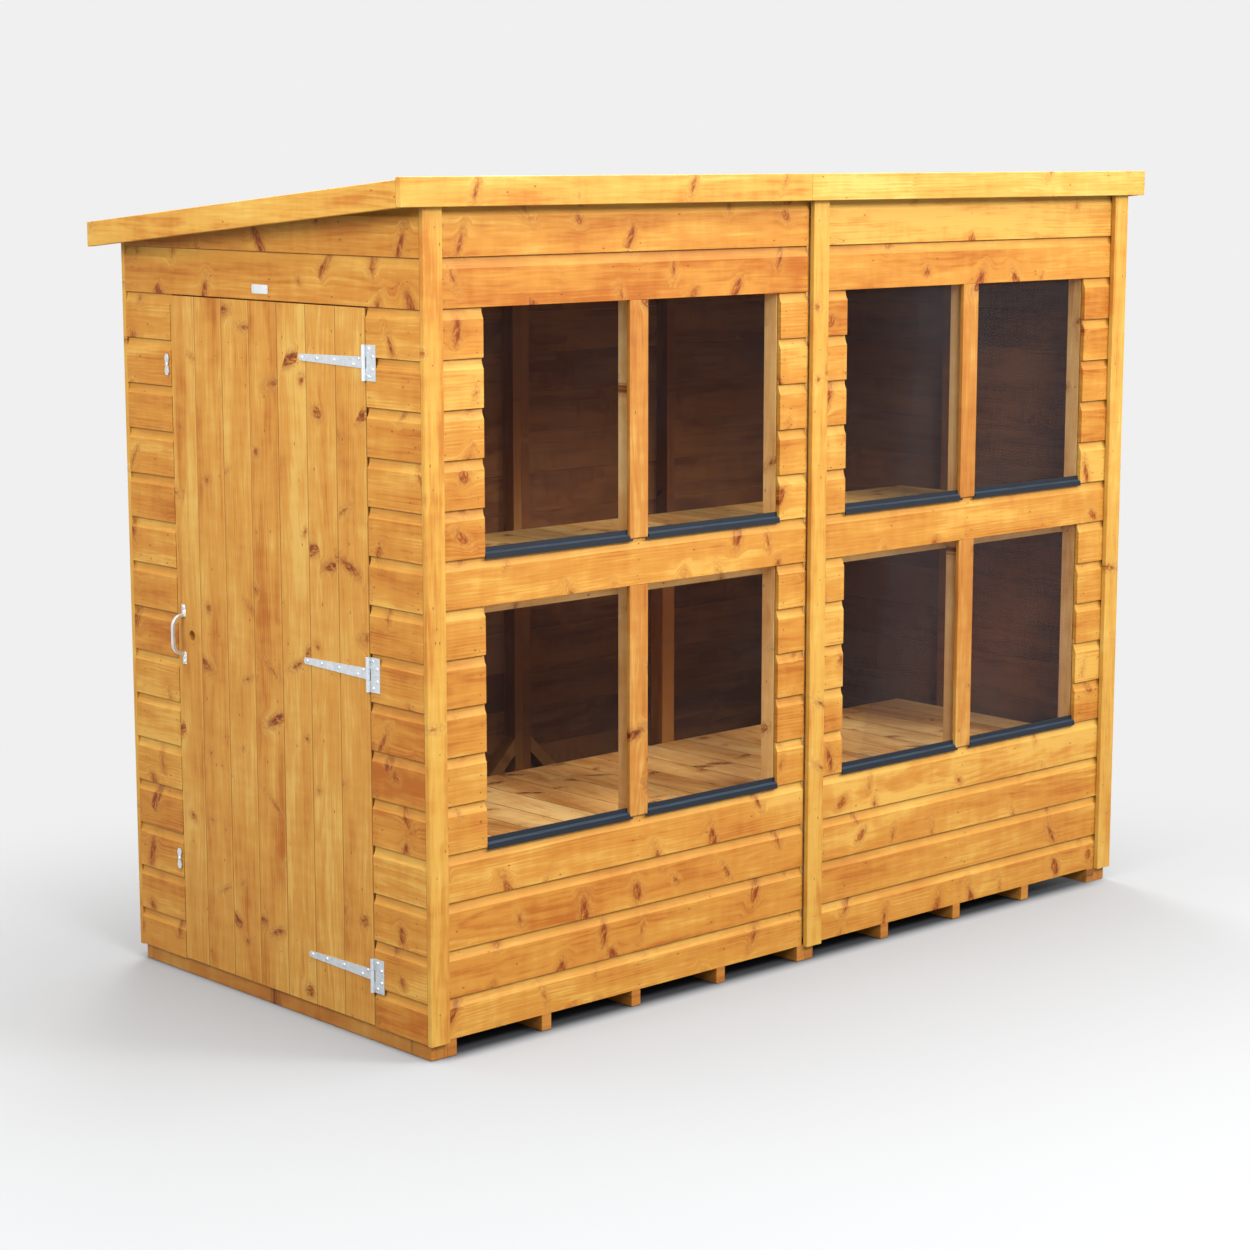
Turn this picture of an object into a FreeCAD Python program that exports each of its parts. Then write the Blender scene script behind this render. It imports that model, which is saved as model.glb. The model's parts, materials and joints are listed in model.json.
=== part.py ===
"""Pent potting shed: two-panel window front, end door on T-hinges, shiplap cladding and staging inside.

Frame: millimetres, +Z up, +X along the windows, +Y from the window front to the back wall.
The origin is on the ground, under the middle of the shed's bounding box.
"""
import FreeCAD, Part
import math
import os
import re
import Sketcher
from FreeCAD import Placement, Rotation, Vector

# Driving dimensions, in millimetres, degrees and counts
SIZES = {
    # Walls and roof
    "wall_length": 2384,
    "wall_depth": 1150,
    "front_height": 1897,
    "roof_angle": 5.2,
    "roof_thick": 12,
    "felt_thick": 3,
    "over_left": 71,
    "over_right": 46,
    "over_back": 34,
    "fascia_thick": 17,
    "fascia_height": 63,
    "fascia_rise": 24,
    "roof_joint_lead": 33,
    "barge_height": 58,
    "barge_rise": 18,
    # Shiplap boards
    "board_pitch": 108,
    "board_thick": 12,
    "cove_height": 24,
    "tongue_thick": 5,
    "lap_height": 11,
    "joint_gap": 0.4,
    "first_course": 93.5,
    # Timber
    "stud_width": 28,
    "stud_depth": 44,
    "strip_width": 53,
    "strip_thick": 14,
    "strip_drop": 3,
    "strip_lead": 8,
    "panel_gap": 12,
    "back_stud": 538,
    "brace_width": 32,
    "brace_height": 322,
    # Floor
    "bearer_height": 38,
    "bearer_width": 28,
    "end_bearer_width": 44,
    "end_bearer_inset": 10,
    "floor_thick": 12,
    "match_tongue": 4,
    "match_gap": 0.2,
    # Windows
    "sill_courses": 4,
    "pane_courses": 5,
    "head_room": 250,
    "window_outer_left": 163,
    "window_inner_left": 104,
    "window_inner_right": 125,
    "window_outer_right": 143,
    "mullion_width": 57,
    "pane_thick": 3,
    "pane_lap": 12,
    "pane_gap": 0.3,
    "pane_split": 2,
    "sill_height": 20,
    "sill_leg": 3,
    "sill_nose": 2.5,
    "sill_drop": 5.5,
    "sill_tuck": 8,
    # Door
    "door_margin": 203.5,
    "door_gap": 3,
    "door_lap": 12,
    "v_joint": 2.5,
    "ledge_height": 95,
    "ledge_thick": 16,
    "ledge_inset": 117,
    "door_brace_run": 110,
    "finger_hole": 24,
    "finger_inset": 56,
    # T-hinges
    "hinge_plate_width": 32,
    "hinge_plate_height": 78,
    "strap_length": 240,
    "strap_tip": 15,
    "leaf_thick": 2,
    "knuckle_radius": 5,
    "knuckle_gap": 0.3,
    "pin_radius": 2.5,
    "pin_gap": 0.05,
    # Pull handle
    "handle_span": 92,
    "handle_reach": 32,
    "handle_bend": 26,
    "handle_bar": 8,
    "handle_inset": 25,
    "foot_width": 14,
    "foot_height": 30,
    "foot_thick": 2.5,
    # Turn buttons
    "button_length": 50,
    "button_width": 17,
    "button_waist": 9,
    "button_thick": 2.5,
    "button_inset": 16,
    "button_drop": 162,
    "button_rise": 245,
    "button_lift": 1.4,
    "button_gap": 0.2,
    "pivot_radius": 2.5,
    "pivot_head": 1.8,
    "pivot_head_radius": 5,
    # Staging
    "bench_depth": 665,
    "bench_high": 1029,
    "bench_low": 408,
    "bench_thick": 16,
    "bench_gap": 1,
    "post_width": 44,
    "post_distance": 195,
}

# Places and sizes worked out from the driving dimensions
DERIVED = {
    "slope": "tan(roof_angle)",
    "x_left": "(over_left - wall_length - over_right) / 2",
    "x_right": "x_left + wall_length",
    "x_joint": "x_left + wall_length / 2",
    "x_stud": "x_left + board_thick",
    "x_stud_right": "x_right - board_thick",
    "x_room": "x_stud + stud_depth",
    "x_room_right": "x_stud_right - stud_depth",
    "room_length": "x_room_right - x_room",
    "y_front": "(fascia_thick - wall_depth - over_back) / 2",
    "y_back": "y_front + wall_depth",
    "y_clad": "y_front + strip_thick",
    "y_stud": "y_clad + board_thick",
    "y_room": "y_stud + stud_depth",
    "y_clad_back": "y_back - strip_thick",
    "y_stud_back": "y_clad_back - board_thick",
    "y_room_back": "y_stud_back - stud_depth",
    "room_depth": "y_room_back - y_room",
    "floor_top": "bearer_height + floor_thick",
    "rail_top": "floor_top + stud_width",
    "plate_front": "front_height - stud_width - (y_room - y_front) * slope",
    "plate_back": "front_height - stud_width - (y_stud_back - y_front) * slope",
    "course_base": "bearer_height + first_course - board_pitch",
    "course_count": "ceil((front_height - course_base) / board_pitch)",
    "low_sill": "course_base + sill_courses * board_pitch",
    "low_head": "low_sill + pane_courses * board_pitch",
    "high_sill": "low_head + board_pitch",
    "head_courses": "floor((front_height - head_room - course_base) / board_pitch)",
    "high_head": "course_base + head_courses * board_pitch",
    "panel_length": "wall_length / 2 - board_thick",
    "left_window": "x_stud + window_outer_left",
    "left_window_width": "panel_length - window_outer_left - window_inner_left",
    "right_window": "x_joint + window_inner_right",
    "right_window_width": "panel_length - window_outer_right - window_inner_right",
    "deck_left": "x_left - over_left + fascia_thick",
    "deck_joint": "x_joint - roof_joint_lead",
    "deck_right": "x_right + over_right - fascia_thick",
    "deck_depth": "wall_depth + over_back",
    "door_hinge_edge": "y_front + door_margin",
    "door_free_edge": "y_back - door_margin",
    "door_width": "door_free_edge - door_hinge_edge",
    "door_base": "bearer_height + door_gap",
    "door_top": "high_head - door_gap",
    "door_height": "door_top - door_base",
    "ledge_back": "x_left + board_thick",
    "ledge_start": "door_hinge_edge + door_lap + door_gap",
    "ledge_length": "door_width - 2 * (door_lap + door_gap)",
    "ledge_high": "door_top - ledge_inset",
    "ledge_low": "door_base + ledge_inset",
    "ledge_mid": "(ledge_high + ledge_low) / 2",
    "pin_x": "x_left - knuckle_radius - knuckle_gap",
    "pin_y": "door_hinge_edge - door_gap / 2",
    "knuckle_third": "hinge_plate_height / 3",
    "strap_root": "knuckle_third - 2 * knuckle_gap",
    "button_y": "door_free_edge + button_inset",
    "button_low": "door_base + button_rise",
    "button_high": "door_top - button_drop",
    "bench_edge": "y_room + bench_depth",
}

BEARERS_PER_PANEL = 5

# Where a sketch's lines are first laid out, before its dimensions move them
LAYOUT_CENTRE = 200
LAYOUT_RADIUS = 100

doc = FreeCAD.newDocument("potting_shed")
sheet = doc.addObject("Spreadsheet::Sheet", "Sizes")
for row, (alias, number) in enumerate(SIZES.items(), start=1):
    sheet.set(f"A{row}", alias)
    sheet.set(f"B{row}", str(number))
    sheet.setAlias(f"B{row}", alias)
doc.recompute()

parts = []


# Helpers


def formula(text):
    """Turn a formula in plain size names into an expression on the sheet's cells."""

    def swap(match):
        word = match.group(0)
        if word in SIZES:
            return f"Sizes.{word}"
        if word in DERIVED:
            return f"({formula(DERIVED[word])})"
        return word

    return re.sub(r"[a-z_]+", swap, text)


def bind(item, **properties):
    for name, text in properties.items():
        item.setExpression(name.replace("__", "."), formula(text))


def place(item, x, y, z):
    bind(item, Placement__Base__x=x, Placement__Base__y=y, Placement__Base__z=z)


def turn(item, axis, angle):
    item.Placement = Placement(Vector(), Rotation(Vector(*axis), angle))


def timber(name, x, y, z, dx, dy, dz):
    """A squared stick, from its low corner."""
    stick = doc.addObject("Part::Box", name)
    bind(stick, Length=dx, Width=dy, Height=dz)
    place(stick, x, y, z)
    return stick


def sloped(name, x, along, above, dx, dy, dz):
    """A squared stick that lies in the roof's slope, measured from the deck's front lower edge."""
    stick = doc.addObject("Part::Box", name)
    bind(stick, Length=dx, Width=dy, Height=dz)
    lie_on_slope(stick, x, along, above)
    return stick


def lie_on_slope(item, x, along, above):
    turn(item, (-1, 0, 0), SIZES["roof_angle"])
    bind(item, Placement__Rotation__Angle="roof_angle")
    place(
        item,
        x,
        f"y_front + ({along}) * cos(roof_angle) + ({above}) * sin(roof_angle)",
        f"front_height - ({along}) * sin(roof_angle) + ({above}) * cos(roof_angle)",
    )


def rod(name, radius, height, x, y, z, axis=(0, 0, 1)):
    """A round bar from a point along an axis."""
    bar = doc.addObject("Part::Cylinder", name)
    bar.Placement = Placement(Vector(), Rotation(Vector(0, 0, 1), Vector(*axis)))
    bind(bar, Radius=radius, Height=height)
    place(bar, x, y, z)
    return bar


def compound(name, members):
    group = doc.addObject("Part::Compound", name)
    group.Links = members
    return group


def fuse(name, members):
    whole = doc.addObject("Part::MultiFuse", name)
    whole.Shapes = members
    return whole


def cut(name, base, tools):
    trimmed = doc.addObject("Part::Cut", name)
    trimmed.Base = base
    trimmed.Tool = tools[0] if len(tools) == 1 else compound(f"{name}_tools", tools)
    return trimmed


def common(name, base, tool):
    kept = doc.addObject("Part::Common", name)
    kept.Base = base
    kept.Tool = tool
    return kept


def part(label, item):
    """Register a finished sub-part under the name of its file."""
    item.Label = label
    parts.append(item)
    return item


def origin_feature(body, role):
    return next(item for item in body.Origin.OriginFeatures if item.Role == role)


def new_body(name):
    body = doc.addObject("PartDesign::Body", name)
    body.AllowCompound = True
    return body


def new_sketch(body, name, plane):
    sketch = body.newObject("Sketcher::SketchObject", name)
    sketch.AttachmentSupport = [(origin_feature(body, plane), "")]
    sketch.MapMode = "FlatFace"
    return sketch


def dimension(sketch, geometry, point, u, v):
    """Place one sketch point by two dimensions from the sketch's origin."""
    for kind, axis, text in (("DistanceX", -2, u), ("DistanceY", -1, v)):
        if text == "0":
            sketch.addConstraint(Sketcher.Constraint("PointOnObject", geometry, point, axis))
            continue
        index = sketch.addConstraint(Sketcher.Constraint(kind, -1, 1, geometry, point, 1.0))
        sketch.setExpression(f"Constraints[{index}]", formula(text))


def outline(body, name, plane, corners):
    """A closed outline of straight sides, each corner dimensioned from the origin."""
    sketch = new_sketch(body, name, plane)
    count = len(corners)
    turns = [2 * math.pi * i / count for i in range(count)]
    guess = [
        Vector(LAYOUT_CENTRE + LAYOUT_RADIUS * math.cos(t), LAYOUT_CENTRE + LAYOUT_RADIUS * math.sin(t))
        for t in turns
    ]
    for i in range(count):
        sketch.addGeometry(Part.LineSegment(guess[i], guess[(i + 1) % count]), False)
    for i in range(count):
        sketch.addConstraint(Sketcher.Constraint("Coincident", i, 2, (i + 1) % count, 1))
    for i, (u, v) in enumerate(corners):
        dimension(sketch, i, 1, u, v)
    return sketch


def circle(sketch, u, v, radius):
    index = sketch.addGeometry(Part.Circle(Vector(1, 1), Vector(0, 0, 1), 1), False)
    dimension(sketch, index, 3, u, v)
    size = sketch.addConstraint(Sketcher.Constraint("Radius", index, 1.0))
    sketch.setExpression(f"Constraints[{size}]", formula(radius))


def pad(body, sketch, length, reverse=False):
    solid = body.newObject("PartDesign::Pad", f"{sketch.Name}_pad")
    solid.Profile = sketch
    solid.Reversed = reverse
    bind(solid, Length=length)
    return solid


def repeat(body, feature, role, pitch, count):
    """Repeat a feature of a body along one of the body's own axes."""
    pattern = body.newObject("PartDesign::LinearPattern", f"{feature.Name}_row")
    pattern.Originals = [feature]
    pattern.Direction = (origin_feature(body, role), [""])
    pattern.Mode = "Spacing"
    bind(pattern, Offset=pitch, Occurrences=count)
    body.Tip = pattern


# Spaces that trim what reaches into them

roof_space = sloped(
    "roof_space", "deck_left - fascia_thick", "-board_pitch", "0",
    "wall_length + 2 * (over_left + over_right)", "2 * wall_depth", "4 * board_pitch",
)
rail_space = sloped(
    "rail_space", "deck_left - fascia_thick", "-board_pitch", "-stud_width",
    "wall_length + 2 * (over_left + over_right)", "2 * wall_depth", "4 * board_pitch",
)
ground_space = timber(
    "ground_space", "deck_left", "y_front - board_pitch", "-board_pitch",
    "deck_right - deck_left", "2 * wall_depth", "board_pitch + bearer_height",
)
roof_plan = timber(
    "roof_plan", "deck_left", "y_front", "0",
    "deck_right - deck_left", "deck_depth", "2 * front_height",
)
side_plan = timber(
    "side_plan", "x_left", "y_room", "0",
    "wall_length", "room_depth", "2 * front_height",
)


# Boards


def shiplap(name, length, x, y, angle):
    """Courses of shiplap: a flat face, a hollow top, and a rebated foot that laps the tongue below.

    The board's own X runs along the wall and its own -Y faces out; the angle turns it about Z.
    """
    face = SIZES["board_pitch"] - SIZES["cove_height"]
    depth = SIZES["board_thick"] - SIZES["tongue_thick"]
    radius = (depth**2 + SIZES["cove_height"] ** 2) / (2 * depth)
    half_turn = math.asin(SIZES["cove_height"] / radius) / 2
    corners = [
        ("0", "0"),
        ("0", "board_pitch - cove_height"),
        ("board_thick - tongue_thick", "board_pitch"),
        ("board_thick - tongue_thick", "board_pitch + lap_height - joint_gap"),
        ("board_thick", "board_pitch + lap_height - joint_gap"),
        ("board_thick", "lap_height"),
        ("board_thick - tongue_thick - joint_gap", "lap_height"),
        ("board_thick - tongue_thick - joint_gap", "0"),
    ]
    arc_side = 1
    body = new_body(f"{name}_courses")
    sketch = new_sketch(body, f"{name}_profile", "YZ_Plane")
    count = len(corners)
    start = Vector(0, face)
    end = Vector(depth, SIZES["board_pitch"])
    middle = end + Vector(radius * (math.cos(half_turn) - 1), -radius * math.sin(half_turn))
    guess = [Vector(0, 0), start, end] + [Vector(20 + i, 200 - 10 * i) for i in range(count - 3)]
    for i in range(count):
        if i == arc_side:
            sketch.addGeometry(Part.Arc(start, middle, end), False)
        else:
            sketch.addGeometry(Part.LineSegment(guess[i], guess[(i + 1) % count]), False)
    flipped = sketch.Geometry[arc_side].StartPoint.distanceToPoint(start) > 1
    first = {i: 2 if i == arc_side and flipped else 1 for i in range(count)}
    for i in range(count):
        following = (i + 1) % count
        joint = Sketcher.Constraint("Coincident", i, 3 - first[i], following, first[following])
        sketch.addConstraint(joint)
    for i, (u, v) in enumerate(corners):
        dimension(sketch, i, first[i], u, v)
    bend = sketch.addConstraint(Sketcher.Constraint("Radius", arc_side, radius))
    hollow = "board_thick - tongue_thick"
    sketch.setExpression(
        f"Constraints[{bend}]", formula(f"(({hollow})^2 + cove_height^2) / (2 * ({hollow}))")
    )
    repeat(body, pad(body, sketch, length), "Z_Axis", "board_pitch", "course_count")
    turn(body, (0, 0, 1), angle)
    place(body, x, y, "course_base")
    return body


def matchboards(name, length, thick, along, across, count, v_joint=False):
    """A row of tongued and grooved boards, padded from an origin plane and repeated across it.

    The sketch's own u runs across the boards and v through their thickness, with the face at v = thick.
    """
    face = "board_pitch - joint_gap"
    lip = f"({thick}) / 3"
    tongue = [
        (face, lip),
        (f"{face} + match_tongue", lip),
        (f"{face} + match_tongue", f"2 * {lip}"),
        (face, f"2 * {lip}"),
    ]
    groove = [
        ("0", f"2 * {lip} + match_gap"),
        ("match_tongue + match_gap", f"2 * {lip} + match_gap"),
        ("match_tongue + match_gap", f"{lip} - match_gap"),
        ("0", f"{lip} - match_gap"),
    ]
    if v_joint:
        top = [
            (face, f"{thick} - v_joint"),
            (f"{face} - v_joint", thick),
            ("v_joint", thick),
            ("0", f"{thick} - v_joint"),
        ]
    else:
        top = [(face, thick), ("0", thick)]
    body = new_body(f"{name}_row")
    sketch = outline(body, f"{name}_profile", along, [("0", "0"), (face, "0")] + tongue + top + groove)
    repeat(body, pad(body, sketch, length, reverse=along == "XZ_Plane"), across, "board_pitch", count)
    return body


# Floor


def floor():
    length = "wall_depth - 2 * strip_thick"
    span = "(wall_length / 2 - end_bearer_inset - end_bearer_width - bearer_width)"
    pitch = f"{span} / {BEARERS_PER_PANEL - 1}"
    bearers = []
    for side, start in (("left", "x_left + end_bearer_inset + end_bearer_width"), ("right", "x_joint")):
        for i in range(BEARERS_PER_PANEL):
            bearers.append(
                timber(
                    f"bearer_{side}_{i}", f"{start} + {i} * {pitch}", "y_clad", "0",
                    "bearer_width", length, "bearer_height",
                )
            )
    part("floor_bearers", compound("floor_bearers", bearers))
    ends = [
        timber("end_bearer_left", "x_left + end_bearer_inset", "y_clad", "0",
               "end_bearer_width", length, "bearer_height"),
        timber("end_bearer_right", "x_right - end_bearer_inset - end_bearer_width", "y_clad", "0",
               "end_bearer_width", length, "bearer_height"),
    ]
    part("end_bearers", compound("end_bearers", ends))
    width = "y_stud_back - y_stud"
    for side, start, end in (("left", "x_stud", "x_joint"), ("right", "x_joint", "x_stud_right")):
        run = f"({end}) - ({start})"
        count = f"ceil(({width}) / board_pitch)"
        rows = matchboards(f"floor_{side}", run, "floor_thick", "YZ_Plane", "Y_Axis", count)
        place(rows, start, "y_stud", "bearer_height")
        plan = timber(f"floor_plan_{side}", start, "y_stud", "0", run, width, "2 * floor_top")
        part(f"floor_boards_{side}", common(f"floor_boards_{side}", rows, plan))


# Window front


def windows(side):
    """Low corners and sizes of one panel's four panes, as (x, width, sill, head, mullion side)."""
    x = f"{side}_window"
    half = f"({side}_window_width) / 2"
    panes = []
    for sill, head in (("low_sill", "low_head"), ("high_sill", "high_head")):
        panes.append((x, half, sill, head, "right"))
        panes.append((f"{x} + {half}", half, sill, head, "left"))
    return panes


def front_panel(side):
    start = {"left": "x_stud", "right": "x_joint"}[side]
    x = f"{side}_window"
    width = f"{side}_window_width"
    height = "plate_front - rail_top"
    studs = [
        start,
        f"{x} - stud_width",
        f"{x} + ({width} - stud_width) / 2",
        f"{x} + {width}",
        f"{start} + panel_length - stud_width",
    ]
    sticks = [
        timber(f"front_{side}_stud_{i}", low, "y_stud", "rail_top", "stud_width", "stud_depth", height)
        for i, low in enumerate(studs)
    ]
    noggin = f"({width} - stud_width) / 2"
    for i, level in enumerate(("low_sill - stud_width", "low_head", "high_sill - stud_width", "high_head")):
        for j, low in enumerate((x, f"{x} + {width} - {noggin}")):
            sticks.append(
                timber(f"front_{side}_noggin_{i}_{j}", low, "y_stud", level,
                       noggin, "stud_depth", "stud_width")
            )
    rebates = []
    panes = []
    for i, (low, half, sill, head, mullion) in enumerate(windows(side)):
        lap = f"{low} - pane_lap" if mullion == "right" else f"{low} + pane_split"
        sheet_width = f"{half} + pane_lap - pane_split"
        sheet_height = f"{head} - {sill} + 2 * pane_lap"
        panes.append(
            timber(f"pane_{side}_{i}", lap, "y_stud + pane_gap / 2", f"{sill} - pane_lap",
                   sheet_width, "pane_thick", sheet_height)
        )
        rebates.append(
            timber(f"rebate_{side}_{i}", f"{lap} - pane_gap", "y_stud - pane_thick",
                   f"{sill} - pane_lap - pane_gap", f"{sheet_width} + 2 * pane_gap",
                   "2 * pane_thick + pane_gap", f"{sheet_height} + 2 * pane_gap")
        )
    glazed = cut(f"front_{side}_glazed", compound(f"front_{side}_sticks", sticks), rebates)
    rail = timber(f"front_{side}_rail", start, "y_stud", "floor_top", "panel_length", "stud_depth",
                  "stud_width")
    blank = timber(f"front_{side}_blank", start, "y_stud", "plate_front", "panel_length", "stud_depth",
                   "front_height - plate_front")
    plate = cut(f"front_{side}_plate", blank, [roof_space])
    part(f"front_frame_{side}", compound(f"front_frame_{side}", [rail, glazed, plate]))

    first_board = {"left": start, "right": f"{start} + panel_gap"}[side]
    boards = shiplap(f"front_{side}", "panel_length - panel_gap", first_board, "y_clad", 0)
    openings = [
        timber(f"opening_{side}_{i}", x, "y_front", sill, width, "y_room - y_front", f"{head} - ({sill})")
        for i, (sill, head) in enumerate((("low_sill", "low_head"), ("high_sill", "high_head")))
    ]
    trimmed = cut(f"front_boards_{side}", boards, openings + [roof_space, ground_space])
    part(f"front_boards_{side}", trimmed)

    covers = [
        timber(f"mullion_{side}_{i}", f"{x} + ({width} - mullion_width) / 2", "y_clad", sill,
               "mullion_width", "board_thick", f"{head} - ({sill})")
        for i, (sill, head) in enumerate((("low_sill", "low_head"), ("high_sill", "high_head")))
    ]
    part(f"mullions_{side}", compound(f"mullions_{side}", covers))
    part(f"window_panes_{side}", compound(f"window_panes_{side}", panes))


def window_sill(name, low, length, sill, mullion):
    """A plastic drip sill: a leg at the glass, a sloping apron and a nose that tucks under the mullion."""
    at_right = mullion == "left"
    leg_back = "board_thick - pane_gap"
    profile = [
        (leg_back, "sill_drop"),
        (leg_back, "sill_drop + sill_height"),
        (f"{leg_back} - sill_leg", "sill_drop + sill_height"),
        (f"{leg_back} - sill_leg - 1", "sill_drop + sill_height / 2"),
        ("1 - sill_nose", "sill_drop + sill_height / 3"),
        ("-sill_nose", "0"),
        ("0", "0"),
        ("sill_nose / 3", "sill_drop"),
    ]
    nose = [("1 - sill_nose", "sill_drop - pane_gap"), ("-sill_nose", "0"), ("0", "0"),
            ("sill_nose / 3", "sill_drop - pane_gap")]
    body = new_body(name)
    pad(body, outline(body, f"{name}_apron", "YZ_Plane", profile), length, at_right)
    pad(body, outline(body, f"{name}_nose", "YZ_Plane", nose), f"{length} + sill_tuck", at_right)
    place(body, f"{low} + {length}" if at_right else low, "y_clad", f"{sill} - sill_drop")
    return body


def window_sills():
    for side in ("left", "right"):
        sills = []
        for i, (low, half, sill, head, mullion) in enumerate(windows(side)):
            length = f"({half} - mullion_width / 2 - 2 * pane_gap)"
            start = f"{low} + pane_gap" if mullion == "right" else f"{low} + mullion_width / 2 + pane_gap"
            sills.append(window_sill(f"sill_{side}_{i}", start, length, sill, mullion))
        part(f"window_sills_{side}", compound(f"window_sills_{side}", sills))


# End walls and back wall


def end_frame(side, x, studs, rails, heads):
    """An end wall's frame: studs under a sloping top rail, with rails let in between them."""
    uprights = [
        timber(f"{side}_stud_{i}", x, y, "floor_top", "stud_depth", "stud_width",
               "front_height - floor_top")
        for i, y in enumerate(studs)
    ]
    trimmed = cut(f"{side}_studs", compound(f"{side}_uprights", uprights), [rail_space])
    blank = sloped(f"{side}_top_blank", x, "0", "-stud_width", "stud_depth", "2 * wall_depth", "stud_width")
    top = common(f"{side}_top_rail", blank, side_plan)
    level = [
        timber(f"{side}_rail_{i}", x, start, z, "stud_depth", f"({end}) - ({start})", "stud_width")
        for i, (start, end, z) in enumerate(rails + heads)
    ]
    part(f"{side}_frame", compound(f"{side}_frame", [trimmed, top] + level))


def end_walls():
    hinge_jamb = "door_hinge_edge + door_lap - stud_width"
    free_jamb = "door_free_edge - door_lap"
    corner_end = "y_room + stud_width"
    back_corner = "y_room_back - stud_width"
    end_frame(
        "door_wall", "x_stud", ["y_room", hinge_jamb, free_jamb, back_corner],
        [(corner_end, hinge_jamb, "floor_top"), (f"{free_jamb} + stud_width", back_corner, "floor_top")],
        [(f"{hinge_jamb} + stud_width", free_jamb, "door_top - door_lap")],
    )
    middle = "y_room + (room_depth - stud_width) / 2"
    end_frame(
        "end_wall", "x_room_right", ["y_room", middle, back_corner],
        [(corner_end, middle, "floor_top"), (f"{middle} + stud_width", back_corner, "floor_top")], [],
    )

    length = "y_clad_back - y_clad"
    doorway = timber("doorway", "x_left - board_thick", "door_hinge_edge - door_gap", "0",
                     "3 * board_thick", "door_width + 2 * door_gap", "high_head")
    boards = shiplap("door_wall", length, "x_left", "y_clad_back", -90)
    part("door_wall_boards", cut("door_wall_boards", boards, [doorway, roof_space, ground_space]))
    boards = shiplap("end_wall", length, "x_right", "y_clad", 90)
    part("end_wall_boards", cut("end_wall_boards", boards, [roof_space, ground_space]))


def back_panel(side):
    start = {"left": "x_stud", "right": "x_joint"}[side]
    end = f"{start} + panel_length - stud_width"
    middle = {"left": "x_joint - back_stud - stud_width", "right": "x_joint + back_stud"}[side]
    sticks = [
        timber(f"back_{side}_stud_{i}", x, "y_room_back", "rail_top", "stud_width", "stud_depth",
               "plate_back - rail_top")
        for i, x in enumerate((start, middle, end))
    ]
    sticks.append(
        timber(f"back_{side}_rail", start, "y_room_back", "floor_top",
               "panel_length", "stud_depth", "stud_width")
    )
    blank = timber(f"back_{side}_blank", start, "y_room_back", "plate_back", "panel_length", "stud_depth",
                   "front_height - plate_back")
    sticks.append(cut(f"back_{side}_plate", blank, [roof_space]))
    brace = new_body(f"back_{side}_brace")
    foot = "brace_height - brace_width * sqrt(2)"
    profile = [("0", "brace_height"), ("0", foot), (foot, "0"), ("brace_height", "0")]
    sketch = outline(brace, f"back_{side}_brace_profile", "XZ_Plane", profile)
    pad(brace, sketch, "stud_depth", side == "left")
    if side == "left":
        turn(brace, (0, 0, 1), 180)
        place(brace, end, "y_stud_back", "rail_top")
    else:
        place(brace, f"{start} + stud_width", "y_stud_back", "rail_top")
    sticks.append(brace)
    part(f"back_frame_{side}", compound(f"back_frame_{side}", sticks))
    boards = shiplap(f"back_{side}", "panel_length", f"{start} + panel_length", "y_clad_back", 180)
    part(f"back_boards_{side}", cut(f"back_boards_{side}", boards, [roof_space, ground_space]))


def strips():
    base = "bearer_height - strip_drop"
    joints = {"front": "x_joint - strip_lead", "back": "x_joint - strip_width / 2"}
    for wall, y in (("front", "y_front"), ("back", "y_clad_back")):
        places = {"left": "x_left", "joint": joints[wall], "right": "x_right - strip_width"}
        for side, x in places.items():
            blank = timber(f"strip_blank_{wall}_{side}", x, y, base, "strip_width", "strip_thick",
                           f"front_height - ({base})")
            part(f"{wall}_strip_{side}", cut(f"{wall}_strip_{side}", blank, [roof_space]))


# Roof


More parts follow.
